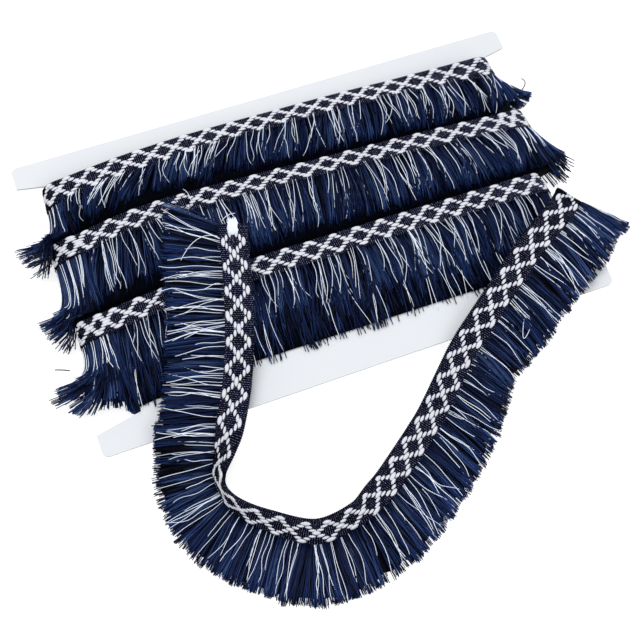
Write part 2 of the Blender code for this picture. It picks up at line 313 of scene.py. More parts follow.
@dataclass(frozen=True)
class BraidFinish:
    """The tightly woven ground: weft ribs across it, painted shade in its grooves, and a light fleck where
    the warp shows.
    """

    name: str
    ground: Colour
    rib: Colour
    fleck: Colour
    rib_pitch: float
    warp_pitch: float

    def build(self) -> bpy.types.Material:
        """Make the material.

        Returns:
            The material.
        """
        kit = Nodes(self.name, 0.85, Specular_IOR_Level=0.04)
        along, across = kit.map_place(LAY_MAP)
        rib = (along * (FULL_TURN / (self.rib_pitch * MM)) + math.pi / 2).wave()
        odd = kit.math("MODULO", (along * (1.0 / (self.rib_pitch * MM))).steps(), 2.0)
        warp = (across * (FULL_TURN / (self.warp_pitch * MM)) + odd * math.pi).wave()
        uneven = kit.noise(along * (0.9 / MM), across * (1.3 / MM), 0.0, 2.0)
        slow = kit.noise(along * (0.11 / MM), across * (0.2 / MM), 3.0, 1.0)
        raised = rib ** 2.0 * (0.65 + 0.35 * warp)
        # The grooves between the ribs take the ground colour, the dark navy darkened further by painted
        # shade.
        ribbed = kit.mixed(raised * (0.5 + 1.1 * slow), self.ground, self.rib)
        light = (raised * uneven * 1.9).over(0.82) * (0.25 + 0.75 * slow)
        colour = kit.mixed(light, ribbed, self.fleck)
        kit.finish(colour, 0.74 + uneven * 0.2, raised + uneven * 0.25, 0.26)
        return kit.material


@dataclass(frozen=True)
class FloatFinish:
    """A raised float of soft white yarn: fine fibres along it, a little grey between them, and painted
    shade towards its ends.
    """

    name: str
    white: Colour
    shade: Colour

    def build(self) -> bpy.types.Material:
        """Make the material.

        Returns:
            The material.
        """
        kit = Nodes(self.name, 0.7, Specular_IOR_Level=0.3)
        tone, along = kit.map_place(BAKE_MAP)
        fibre = kit.noise(tone * 420.0, along * 2.2, 0.0, 2.0)
        # Darker towards both ends, where the float dips into the braid: painted shade.
        ends = (along - 0.5) * (along - 0.5) * 4.0
        colour = kit.mixed(fibre * 0.35 + ends ** 2.0 * 0.45, self.white, self.shade)
        kit.finish(colour, 0.62 + fibre * 0.2, fibre, 0.10)
        return kit.material


@dataclass(frozen=True)
class BoardFinish:
    """White paperboard: a smooth matt face with a faint mottle, and a greyer cut edge."""

    name: str
    face: Colour
    mottle: Colour
    edge: Colour

    def build(self) -> bpy.types.Material:
        """Make the material.

        Returns:
            The material.
        """
        kit = Nodes(self.name, 0.6, Specular_IOR_Level=0.35)
        x, y, z = kit.object_place()
        cloudy = kit.noise(x * 30.0, y * 30.0, z * 30.0, 3.0)
        fibre = kit.noise(x * 900.0, y * 2600.0, z * 900.0, 2.0)
        normal = kit.node("ShaderNodeNewGeometry").outputs["Normal"]
        parts = kit.node("ShaderNodeSeparateXYZ", inputs={"Vector": normal})
        level = kit.math("ABSOLUTE", Value(kit, parts.outputs["Z"]))
        face = kit.mixed(cloudy * 0.7 + fibre * 0.3, self.face, self.mottle)
        colour = kit.mixed(1.0 - level.over(0.5), face, self.edge)
        kit.finish(colour, 0.52 + fibre * 0.16, fibre, 0.02)
        return kit.material


@dataclass(frozen=True)
class FloorFinish:
    """The pale surface that the trim lies on, faintly lit from below to keep its shadows soft."""

    name: str
    colour: Colour
    glow: float

    def build(self) -> bpy.types.Material:
        """Make the material.

        Returns:
            The material.
        """
        kit = Nodes(self.name, 0.9, Specular_IOR_Level=0.0, Emission_Strength=self.glow,
                    Emission_Color=(1.0, 1.0, 1.0, 1.0))
        x, y, z = kit.object_place()
        grain = kit.noise(x * 12.0, y * 12.0, z * 12.0, 2.0)
        plain = kit.mixed(grain * 0.02, self.colour, (0.55, 0.55, 0.55, 1.0))
        kit.feed(kit.shader.inputs["Base Color"], plain)
        return kit.material


# ------------------------------------------------------------- mesh makers

YARN_SIDES = 3
YARN_SIDE_STEP = 0.004      # between two sides of a yarn on the bake map
YARN_SWELL = ((0.0, 0.9), (0.3, 1.0), (1.0, 0.95))      # (share of its way, share of its radius)


def piece_of(name: str, points: np.ndarray, faces: list[np.ndarray], maps: dict[str, list[np.ndarray]],
             finish: bpy.types.Material) -> bpy.types.Object:
    """Make one mesh object.

    Args:
        name: the object's name.
        points: its points, in millimetres.
        faces: arrays of faces that have the same number of corners.
        maps: for each UV map, the corners' places, an array for each array of faces.
        finish: its material.

    Returns:
        The object, its faces turned outwards and shaded smooth.
    """
    mesh = bpy.data.meshes.new(name)
    mesh.vertices.add(len(points))
    mesh.vertices.foreach_set("co", (points * MM).astype(np.float32).ravel())
    corners = np.concatenate([some.ravel() for some in faces])
    sizes = np.concatenate([np.full(len(some), some.shape[1]) for some in faces])
    mesh.loops.add(len(corners))
    mesh.loops.foreach_set("vertex_index", corners.astype(np.int32))
    mesh.polygons.add(len(sizes))
    mesh.polygons.foreach_set("loop_start", (np.cumsum(sizes) - sizes).astype(np.int32))
    mesh.update(calc_edges=True)
    for map_name, places in maps.items():
        layer = mesh.uv_layers.new(name=map_name)
        flat = np.concatenate([some.reshape(-1, 2) for some in places])
        layer.data.foreach_set("uv", flat.astype(np.float32).ravel())
    if volume_of(mesh) < 0.0:
        mesh.flip_normals()
    mesh.polygons.foreach_set("use_smooth", np.ones(len(sizes), dtype=bool))
    mesh.materials.append(finish)
    mesh.update()
    obj = bpy.data.objects.new(name, mesh)
    bpy.context.collection.objects.link(obj)
    return obj


def volume_of(mesh: bpy.types.Mesh) -> float:
    """Measure the volume that a closed mesh holds, six times over.

    Args:
        mesh: the mesh.

    Returns:
        The measure, negative where its faces point inwards.
    """
    mesh.calc_loop_triangles()
    points = np.empty(len(mesh.vertices) * 3, np.float32)
    mesh.vertices.foreach_get("co", points)
    triangles = np.empty(len(mesh.loop_triangles) * 3, np.int32)
    mesh.loop_triangles.foreach_get("vertices", triangles)
    a, b, c = points.reshape(-1, 3).astype(float)[triangles.reshape(-1, 3)].transpose(1, 0, 2)
    return float((a * np.cross(b, c)).sum())


def unit(vectors: np.ndarray) -> np.ndarray:
    """Vectors made one long."""
    return vectors / np.maximum(np.linalg.norm(vectors, axis=-1, keepdims=True), 1e-9)


def eased(share: np.ndarray) -> np.ndarray:
    """A share that starts and stops gently."""
    held = np.clip(share, 0.0, 1.0)
    return held * held * (3.0 - 2.0 * held)


def read_table(table: Table, where: np.ndarray) -> np.ndarray:
    """The second column of a table, read between its rows at places in the first."""
    return np.interp(where, *np.array(table).T)


class Yarns:
    """Yarns of one piece, gathered and then skinned as closed tubes."""

    def __init__(self) -> None:
        """Start with none."""
        self.points: list[np.ndarray] = []
        self.faces: list[np.ndarray] = []
        self.places: list[np.ndarray] = []
        self.count = 0

    def add(self, paths: np.ndarray, radius: np.ndarray, tone: np.ndarray, side: np.ndarray) -> None:
        """Skin some yarns that have the same number of points.

        Args:
            paths: (yarns, points, 3), from root to tip.
            radius: one for each yarn.
            tone: each yarn's tone, from 0 to 1.
            side: for each yarn, a direction that it never runs along.
        """
        many, steps = paths.shape[:2]
        way = unit(np.gradient(paths, axis=1))
        first = unit(side[:, None, :] - way * (side[:, None, :] * way).sum(-1, keepdims=True))
        second = np.cross(way, first)
        angle = FULL_TURN * np.arange(YARN_SIDES)[:, None] / YARN_SIDES
        swell = read_table(YARN_SWELL, np.linspace(0.0, 1.0, steps))
        size = (radius[:, None] * swell)[..., None, None]
        spokes = np.cos(angle) * first[:, :, None, :] + np.sin(angle) * second[:, :, None, :]
        self.points.append((paths[:, :, None, :] + spokes * size).reshape(-1, 3))
        start = self.count + np.arange(many)[:, None, None] * (steps * YARN_SIDES)
        step = np.arange(steps - 1)[None, :, None] * YARN_SIDES
        here = np.arange(YARN_SIDES)[None, None, :]
        there = (here + 1) % YARN_SIDES
        low, high = start + step, start + step + YARN_SIDES
        quads = np.stack([low + here, low + there, high + there, high + here], axis=-1).reshape(-1, 4)
        root_caps = start[:, 0] + np.arange(YARN_SIDES)[::-1]
        tip_caps = start[:, 0] + (steps - 1) * YARN_SIDES + np.arange(YARN_SIDES)
        spot = np.empty((many, steps, YARN_SIDES, 2))
        spot[..., 0] = 0.01 + 0.96 * np.clip(tone, 0.0, 1.0)[:, None, None] + here * YARN_SIDE_STEP
        spot[..., 1] = np.linspace(0.02, 0.98, steps)[None, :, None]
        spot = spot.reshape(-1, 2)
        self.faces += [quads, root_caps, tip_caps]
        self.places += [spot[quads - self.count], spot[root_caps - self.count], spot[tip_caps - self.count]]
        self.count += many * steps * YARN_SIDES

    def skin(self, name: str, finish: bpy.types.Material) -> bpy.types.Object:
        """Join the yarns into one piece."""
        return piece_of(name, np.concatenate(self.points), self.faces, {BAKE_MAP: self.places}, finish)


def side_faces(starts: np.ndarray, corners: int) -> np.ndarray:
    """Span rings of points.

    Args:
        starts: the number of each ring's first point.
        corners: points on each ring.

    Returns:
        The faces between each ring and the next, four points each.
    """
    here, there = starts[:-1, None], starts[1:, None]
    first = np.arange(corners)[None, :]
    second = (first + 1) % corners
    return np.stack([here + first, here + second, there + second, there + first], axis=-1).reshape(-1, 4)


@dataclass
class Band:
    """Sections of a long flat piece that are skinned into one closed ribbon.

    Each section runs across the upper face and comes back below.
    """

    sections: np.ndarray        # (stations, corners, 3)
    along: np.ndarray           # how far along the trim each station is
    turn: float                 # the length that fills the bake map's width once

    def ring(self) -> np.ndarray:
        """Measure round the middle section.

        Returns:
            How far round each corner is, with the first one once more at the end.
        """
        middle = self.sections[len(self.sections) // 2]
        steps = np.linalg.norm(np.roll(middle, -1, axis=0) - middle, axis=1)
        return np.concatenate([[0.0], np.cumsum(steps)])

    def places(self, u: np.ndarray, v: np.ndarray) -> np.ndarray:
        """Lay the side faces out on a map.

        Args:
            u: each span's start and end.
            v: the two sides of each face round a section.

        Returns:
            The places of the faces' corners.
        """
        made = np.empty((len(u), v.shape[-2], 4, 2))
        made[..., 0] = np.stack([u[:, 0], u[:, 0], u[:, 1], u[:, 1]], axis=-1)[:, None, :]
        made[..., 1] = np.stack([v[..., 0], v[..., 1], v[..., 1], v[..., 0]], axis=-1)
        return made.reshape(-1, 4, 2)

    def skin(self, name: str, finish: bpy.types.Material) -> bpy.types.Object:
        """Make the ribbon, closed at both ends.

        Args:
            name: the piece's name.
            finish: its material.

        Returns:
            The piece.
        """
        stations, corners = self.sections.shape[:2]
        quads = side_faces(np.arange(stations) * corners, corners)
        caps = [np.arange(corners)[None, ::-1], (stations - 1) * corners + np.arange(corners)[None, :]]
        ring = self.ring()
        spans = np.stack([self.along[:-1], self.along[1:]], axis=-1)
        sides = np.stack([ring[:-1], ring[1:]], axis=-1)[None]
        lay = self.places(spans * MM, sides * MM)
        number = np.floor((self.along[:-1] - self.along[0]) / self.turn + 1e-6)
        turns = int(number[-1]) + 1
        within = (spans - self.along[0]) / self.turn - number[:, None]
        bands = (number[:, None, None] + 0.04 + 0.92 * sides / ring[-1]) / turns
        bake = self.places(0.005 + 0.99 * np.clip(within, 0.0, 1.0), bands)
        cap_lay = [np.stack([np.full(corners, end), ring[:-1]], axis=-1)[None] * MM
                   for end in (self.along[0], self.along[-1])]
        cap_bake = [lay_of_cap(corners, start) for start in (0.002, 0.994)]
        maps = {LAY_MAP: [lay, *cap_lay], BAKE_MAP: [bake, *cap_bake]}
        return piece_of(name, self.sections.reshape(-1, 3), [quads, *caps], maps, finish)


def lay_of_cap(corners: int, start: float) -> np.ndarray:
    """A narrow loop on the bake map for an end cap."""
    turn = FULL_TURN * np.arange(corners) / corners
    return np.stack([start + 0.002 + 0.002 * np.cos(turn), 0.5 + 0.02 * np.sin(turn)], axis=-1)[None]


# ------------------------------------------------------------- the diamonds


def from_lowest(loop: list[int]) -> tuple[int, ...]:
    """A face's corners, the same way round from the lowest number."""
    first = loop.index(min(loop))
    return tuple(loop[first:] + loop[:first])


@dataclass(frozen=True)
class DiamondChain:
    """The white chain: floats on seven columns, two zigzags that cross once in a pitch."""

    column: float = 1.33
    small: tuple[float, float, float] = (3.0, 1.26, 1.0)   # length, width, height
    big: tuple[float, float, float] = (4.0, 1.80, 1.25)
    sunk: float = 0.12              # how far a float's foot is below the ground's face
    columns: tuple[tuple[int, ...], ...] = ((0,), (-1, 1), (-2, 2), (-3, 3), (-2, 2), (-1, 1))

    def template(self) -> tuple[np.ndarray, list[tuple[int, ...]]]:
        """Model one float of unit size along X, flat below.

        Returns:
            Its points and its faces.
        """
        upright = (0.0, 0.0, 1.0)
        bpy.ops.object.select_all(action="DESELECT")
        bpy.ops.mesh.primitive_uv_sphere_add(segments=8, ring_count=6, radius=0.5,
                                             rotation=(0.0, math.pi / 2, 0.0))
        model = bpy.context.object
        bpy.ops.object.transform_apply(location=False, rotation=True, scale=False)
        bpy.ops.object.mode_set(mode="EDIT")
        bpy.ops.mesh.select_all(action="SELECT")
        bpy.ops.mesh.bisect(plane_co=(0.0, 0.0, -0.16), plane_no=upright, use_fill=True, clear_inner=True)
        bpy.ops.object.mode_set(mode="OBJECT")
        points = np.array([vert.co[:] for vert in model.data.vertices])
        # The cut leaves points and faces in any order, so they are put in order of place
        points = points.round(5)
        order = np.lexsort(points.T)
        rank = np.argsort(order)
        faces = sorted(from_lowest(rank[list(face.vertices)].tolist()) for face in model.data.polygons)
        bpy.data.objects.remove(model)
        points = points[order]
        # Drawn in towards the two ends, and pressed a little flat on top
        points[:, 1:] *= 1.0 - 0.2 * (2 * points[:, :1]) ** 2
        points[:, 2] = np.where(points[:, 2] > 0.0, np.tanh(points[:, 2] * 2.2) / 1.6, points[:, 2])
        return points, faces

    def places(self, start: float, end: float, phase: float, pitch: float) -> np.ndarray:
        """Work out where the floats lie.

        Args:
            start: where the chain starts along the trim.
            end: where it stops.
            phase: where one of its crossings is.
            pitch: between two crossings of the same kind.

        Returns:
            Rows of (along, across, 1 for a big float and 0 for a small one).
        """
        step = pitch / len(self.columns)
        rows = []
        for number in range(math.ceil((start - phase) / step), math.floor((end - phase) / step)):
            for column in self.columns[number % len(self.columns)]:
                wide = 1.0 if abs(column) in (0, 3) else 0.0
                rows.append((phase + number * step, column * self.column, wide))
        return np.array(rows)

    def build(self, name: str, spots: np.ndarray, at: Callable, finish: bpy.types.Material,
              seed: int) -> bpy.types.Object:
        """Copy the float to every spot of a braid.

        Args:
            name: the piece's name.
            spots: rows of (along, across, size).
            at: gives the point, the way along, the way across and the face's normal there.
            finish: the floats' material.
            seed: of their unevenness.

        Returns:
            All the floats as one piece.
        """
        rng = np.random.default_rng(seed)
        points, faces = self.template()
        many, size = len(spots), len(points)
        jitter = rng.normal(0.0, 1.0, (many, 5))
        along = spots[:, 0] + 0.07 * jitter[:, 0]
        across = spots[:, 1] + 0.05 * jitter[:, 1]
        centre, way, side, face = at(along, across)
        turn = 0.06 * jitter[:, 2, None]
        way, side = unit(way + turn * side), unit(side - turn * way)
        sizes = np.where(spots[:, 2, None] > 0.5, np.array(self.big), np.array(self.small))
        sizes = sizes * (1.0 + 0.06 * jitter[:, 2:5])
        local = points[None] * sizes[:, None, :]
        placed = (centre[:, None] + local[..., :1] * way[:, None] + local[..., 1:2] * side[:, None]
                  + (local[..., 2:] - self.sunk) * face[:, None])
        tone = rng.uniform(0.05, 0.9, many)
        round_it = np.arctan2(points[:, 1], points[:, 2]) / FULL_TURN + 0.5
        spot_u = tone[:, None] + 0.05 * round_it[None]
        spot_v = np.broadcast_to(np.clip(points[:, 0] + 0.5, 0.02, 0.98)[None], (many, size))
        spot = np.stack([spot_u, spot_v], axis=-1).reshape(-1, 2)
        made, places = [], []
        for corners in sorted({len(loop) for loop in faces}):
            some = np.array([loop for loop in faces if len(loop) == corners])
            copies = (some[None] + np.arange(many)[:, None, None] * size).reshape(-1, corners)
            made.append(copies)
            places.append(spot[copies])
        return piece_of(name, placed.reshape(-1, 3), made, {BAKE_MAP: places}, finish)


# ----------------------------------------------------------- the yarns' lie


class Held(Enum):
    """How a length of the trim is held."""

    WOUND = "folded"
    LOOSE = "laid"


def uneven_by(spreads: tuple[float, float, float], lock: np.ndarray, clump: np.ndarray,
              rng: np.random.Generator) -> np.ndarray:
    """Draw an unevenness that yarns of one lock and of one clump share in part.

    Args:
        spreads: its spread from lock to lock, from clump to clump and from yarn to yarn.
        lock: the number of each yarn's lock.
        clump: the number of its clump.
        rng: the source of the draws.

    Returns:
        A number for each yarn.
    """
    by_lock, by_clump, by_yarn = spreads
    return (rng.normal(0.0, by_lock, lock.max() + 1)[lock]
            + rng.normal(0.0, by_clump, clump.max() + 1)[clump]
            + rng.normal(0.0, by_yarn, len(lock)))


@dataclass
class Lie:
    """How each yarn of a fringe lies: angles in radians, lengths as shares, distances in millimetres."""

    lean: np.ndarray
    length: np.ndarray
    aside: np.ndarray               # (yarns, points), how far it is off its line
    lock: np.ndarray                # the number of its lock, a wide clump
    clump: np.ndarray               # the number of its clump

    def tones(self, spreads: tuple[float, float, float], rng: np.random.Generator) -> np.ndarray:
        """How far each yarn's tone is off, from its spread by lock, by clump and by yarn."""
        return uneven_by(spreads, self.lock, self.clump, rng)


@dataclass(frozen=True)
class Combing:
    """How the yarns of a stretch of fringe lie beside each other, in locks made of narrower clumps."""

    lock: tuple[float, float] = (5.0, 13.0)     # narrowest and widest at the root
    clump: tuple[float, float] = (0.9, 2.8)
    lock_pull: float = 0.10         # how far its yarns draw together at their tips
    clump_pull: float = 0.45
    lock_lean: float = 5.0          # degrees, from lock to lock
    clump_lean: float = 4.0
    yarn_lean: float = 2.5
    wave: tuple[float, float] = (0.05, 0.4)     # how far a yarn waves from its line
    kink: float = 0.0               # how sharply it bends, as a slope
    uneven: float = 0.02            # how uneven the locks' and clumps' lengths are, as a share
    ragged: float = 0.035           # the same for the yarns

    def lie(self, roots: np.ndarray, steps: int, rng: np.random.Generator) -> Lie:
        """Sort roots into locks and clumps.

        Args:
            roots: each yarn's place along the trim.
            steps: points on each yarn.
            rng: the source of its unevenness.

        Returns:
            The lie of every yarn.
        """
        share = np.linspace(0.0, 1.0, steps)
        lock, lock_centre = self.sorted_into(self.lock, roots, rng)
        clump, clump_centre = self.sorted_into(self.clump, roots, rng)
        locks, clumps, many = lock.max() + 1, clump.max() + 1, len(roots)
        lean = uneven_by((self.lock_lean, self.clump_lean, self.yarn_lean), lock, clump, rng)
        length = 1.0 + rng.normal(0.0, self.uneven, locks)[lock]
        length = length + rng.normal(0.0, self.uneven, clumps)[clump]
        length = length - np.abs(rng.normal(0.0, self.ragged, many))
        lock_pull = self.lock_pull * rng.uniform(-0.4, 2.4, locks)[lock] * (lock_centre - roots)
        clump_pull = self.clump_pull * rng.uniform(0.2, 1.6, clumps)[clump] * (clump_centre - roots)
        bend = rng.normal(0.0, 0.7, clumps)[clump]
        aside = (lock_pull[:, None] * share ** 1.6 + clump_pull[:, None] * share ** 0.9
                 + bend[:, None] * (share ** 2 - share) + self.waving(share, many, rng))
        return Lie(np.radians(lean), np.clip(length, 0.4, 1.06), aside, lock, clump)

    @staticmethod
    def sorted_into(widths: tuple[float, float], roots: np.ndarray,
                    rng: np.random.Generator) -> tuple[np.ndarray, np.ndarray]:
        """Sort roots into clumps.

        Args:
            widths: the narrowest clump and the widest.
            roots: each yarn's place along the trim.
            rng: the source of the clumps' widths.

        Returns:
            The number of each root's clump, and that clump's centre.
        """
        low, high = roots.min() - 1.0, roots.max() + 1.0
        wide = rng.uniform(*widths, int((high - low) / widths[0]) + 4)
        edges = low + np.concatenate([[0.0], np.cumsum(wide)])
        number = np.clip(np.searchsorted(edges, roots) - 1, 0, len(wide) - 1)
        return number, (edges[number] + edges[number + 1]) / 2

    def waving(self, share: np.ndarray, many: int, rng: np.random.Generator) -> np.ndarray:
        """Draw a wave and three bends for each yarn.

        Args:
            share: how far along a yarn each point is.
            many: the number of yarns.
            rng: the source of the draws.

        Returns:
            How far each point is off its yarn's line, (yarns, points), nothing at the root.
        """
        reach = rng.uniform(*self.wave, (many, 1))
        beats = rng.uniform(0.5, 1.5, (many, 1))
        phase = rng.uniform(0.0, FULL_TURN, (many, 1))
        off = reach * (np.sin(FULL_TURN * beats * share + phase) - np.sin(phase)) * share ** 0.8
        for first, last in ((0.1, 0.4), (0.35, 0.65), (0.6, 0.9)):
            place = rng.uniform(first, last, (many, 1))
            slope = rng.normal(0.0, self.kink, (many, 1))
            off = off + slope * np.maximum(share - place, 0.0)
        return off


THREAD_COMBING = Combing(lock_lean=4.5, clump_lean=2.0, yarn_lean=3.5, lock_pull=0.03, clump_pull=0.05,
                         wave=(0.2, 0.9), kink=2.4, uneven=0.03, ragged=0.22)
THREAD_RADIUS = (0.12, 0.165)
THREAD_POINTS = 13


def thread_roots(first: float, pitch: float, length: float, count_at: Callable,
                 rng: np.random.Generator) -> np.ndarray:
    """Where white threads come out of a heading: a loose group below each diamond.

    Args:
        first: where one group's middle is.
        pitch: between two groups.
        length: of the heading.
        count_at: gives how many threads a group has at a place.
        rng: the source of their unevenness.

    Returns:
        The roots, in order. Some are close together, as a bunch.
    """
    groups = np.arange(first % pitch, length, pitch)
    counts = np.round(count_at(groups) + rng.uniform(-1.6, 1.6, len(groups))).astype(int)
    roots = np.repeat(groups, counts) + rng.uniform(-0.46, 0.46, counts.sum()) * pitch
    bunched = rng.choice(roots, len(roots) // 8)
    return np.sort(np.clip(np.concatenate([roots, bunched + 0.35]), 0.5, length - 0.5))


# ----------------------------------------------------------------- the rows


@dataclass(frozen=True)
class WoundEnd:
    """One end of a wound row."""

    radius: float
    flare: float                    # how far the fringe stands out past it
    falls: bool = True              # whether the fringe hangs outside the next row's end
    clears: float = 14.8            # how far past the neck the next row's end stands
    burst: float = 1.15             # how suddenly it turns outwards, 1 for not at all
    drop: float = 15.0              # from the root down to the tips that stand out furthest


@dataclass(frozen=True)
class Winding:
    """The way round the card's neck: its front, its right end, its back and its left end."""

    left: WoundEnd
    right: WoundEnd
    neck_half: float = 89.0
    middle: float = 8.8             # height of the card's middle plane
    inner: float = 0.8              # radius of the first turn
    back: float = 8.8
    front: float = 10.4

    @property
    def marks(self) -> np.ndarray:
        """Where along the way the front, the right end, the back and the left end start and stop."""
        side = 2 * self.neck_half
        return np.cumsum([0.0, side, math.pi * self.right.radius, side, math.pi * self.left.radius])

    @property
    def round(self) -> float:
        """Length once round."""
        return float(self.marks[-1])

    def station(self, run: np.ndarray) -> tuple[np.ndarray, np.ndarray]:
        """Find places round the neck.

        Args:
            run: distances round it from the front's left end.

        Returns:
            X, and the angle in radians: 90 degrees on the front and -90 on the back.
        """
        run = np.mod(run, self.round)
        x = np.interp(run, self.marks, np.array([-1.0, 1.0, 1.0, -1.0, -1.0]) * self.neck_half)
        return x, np.radians(np.interp(run, self.marks, (90.0, 90.0, -90.0, -90.0, -270.0)))

    def spread(self, many: int, crowded: float, rng: np.random.Generator) -> np.ndarray:
        """Draw places all round the neck.

        Args:
            many: how many.
            crowded: how many times closer together they are at the ends.
            rng: the source of the draws.

        Returns:
            The places, in order.
        """
        lengths = np.diff(self.marks) * np.array([1.0, crowded, 1.0, crowded])
        filled = np.concatenate([[0.0], np.cumsum(lengths)])
        return np.sort(np.interp(rng.uniform(0.0, filled[-1], many), filled, self.marks))

    def at_end(self, x: np.ndarray, size: str) -> np.ndarray:
        """A size of the end on the side of x."""
        return np.where(x < 0.0, getattr(self.left, size), getattr(self.right, size))

    def place(self, x: np.ndarray, angle: np.ndarray, y: np.ndarray, radius: np.ndarray) -> np.ndarray:
        """A point out from the card's middle plane by a radius."""
        return np.stack(np.broadcast_arrays(x + radius * np.cos(angle), y,
                                            self.middle + radius * np.sin(angle)), axis=-1)

    @staticmethod
    def oval(angle: np.ndarray, front: np.ndarray, end: np.ndarray, back: np.ndarray) -> np.ndarray:
        """Measure an oval.

        Args:
            angle: in radians, where it is measured.
            front: its height above the middle plane.
            end: its reach past the neck.
            back: its depth below the middle plane.

        Returns:
            Its radius there.
        """
        rise, run = np.sin(angle), np.cos(angle)
        flat = np.where(rise < 0.0, back, front)
        return flat * end / np.hypot(flat * run, end * rise)


HEADING_WIDTH = 12.0
FREE_MARGIN = 6.5               # from the chain's middle to the free edge
FRINGE_MARGIN = HEADING_WIDTH - FREE_MARGIN
BACK_SLOPE = 0.75               # how much less a heading slopes on the back
DROOP_START = 50.0              # a row's left end droops from this far left of the middle
LOWEST_REACH = 30.5             # of the lowest row's fringe below its root
NEXT_ROW_CLEAR = 1.2            # from the other rows' fringe to the next row's heading
TURNED = 4.9                    # a wound heading's free edge turns down from here on
TURN_DROP = 0.95                # how far it drops past there, as a share of its way
TURN_DRAW = 0.6                 # how far it draws in round an end
TURN_REACH = 0.25               # how far it still runs on along Y
SUNK = 0.45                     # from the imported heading's face down to the braid's
LAYER_STEP = 40.0               # the way that one turn takes to climb on to the last
UNDER_STEP = 8.0                # between stations of the turns that are covered
NORMAL_STEP = 0.3               # half the distance that a direction is measured over
RIB_PITCH = 0.835
RIB_HEIGHT = 0.12
RIB_SPREAD = 0.26               # how far the ribs stand out at the edges
FLOOR_CLEAR = 0.25              # from the surface to the lowest yarn's middle
YARN_SUNK = 0.6                 # on the back, from a heading's face to the outermost yarns
TURNS_DEEP = 5.5                # from there to the innermost turn's yarns
TIP_SUNK = 0.5                  # how much closer to the card a yarn's tip lies
LOWER_LONGER = 0.10             # how much further down the innermost turn's yarns reach, as a share
PAST_NEXT = 0.2                 # how far a yarn may reach in below the next row's heading
END_STOP = 0.4                  # how far short of that heading it stops at an end
FAN_UNEVEN = (0.74, 1.03)       # a lock's flare, as a share of its end's
FAN_SWEEP = 0.30                # how much a fan's yarns draw together round the end
FAN_DEEP = 5.0                  # from the outermost turn's end to the innermost's
TIP_EASE = 0.2                  # how much of a fan's drop goes with its yarn's length
FAN_LOWEST = 0.9                # of a fan that the next row's end stops, as a share of the reach

# How the fringe opens past an end: (degrees from the end's middle, share)
FANNED = ((0.0, 1.0), (40.0, 1.0), (60.0, 0.85), (75.0, 0.3), (90.0, 0.0))
# Its turns: (depth, share of the flare) and (depth, how much lower their tips are)
FAN_SHARE = ((0.0, 1.0), (0.33, 0.97), (0.66, 0.80), (1.0, 0.50))
FAN_DROP = ((0.0, 0.0), (0.33, 4.5), (0.66, 8.5), (1.0, 12.5))
# (depth, how early its yarns fall, as a share of the end's burst)
FAN_HANG = ((0.0, 0.75), (1.0, 0.12))


@dataclass
class Rooted:
    """Yarns whose roots have their places in a row's heading."""

    roots: np.ndarray               # round the neck
    x: np.ndarray                   # along the row
    angle: np.ndarray               # round the card, in radians
    deep: np.ndarray                # 0 on the outermost turn, 1 on the innermost
    wide: np.ndarray                # how much each fans out
    lie: Lie
    share: np.ndarray               # how far along a yarn each point is


@dataclass(frozen=True)
class RowLine:
    """Where a row's heading runs."""

    chain: float                    # Y of the diamond chain at the middle
    rise: float                     # slope along X
    bow: float                      # how far the chain drops 90 mm from the middle
    droop: float                    # how far it drops further 50 mm past the droop's start
    seen: float                     # the heading's width along Y
    flats: Table                    # (x, share of the heading's face that is seen along Y)

    def flatness(self, x: np.ndarray) -> np.ndarray:
        """The share of the heading's face that is seen along Y at x."""
        return read_table(self.flats, x)

    def free_y(self, x: np.ndarray) -> np.ndarray:
        """Find the free edge.

        Args:
            x: places along the row.

        Returns:
            Its Y there.
        """
        droop = self.droop * (np.maximum(0.0, -x - DROOP_START) / 50.0) ** 2
        chain = self.chain + self.rise * x - self.bow * (x / 90.0) ** 2 - droop
        return chain + FREE_MARGIN * self.seen / HEADING_WIDTH

    def root_y(self, x: np.ndarray) -> np.ndarray:
        """Y of the fringe side at x."""
        return self.free_y(x) - self.seen


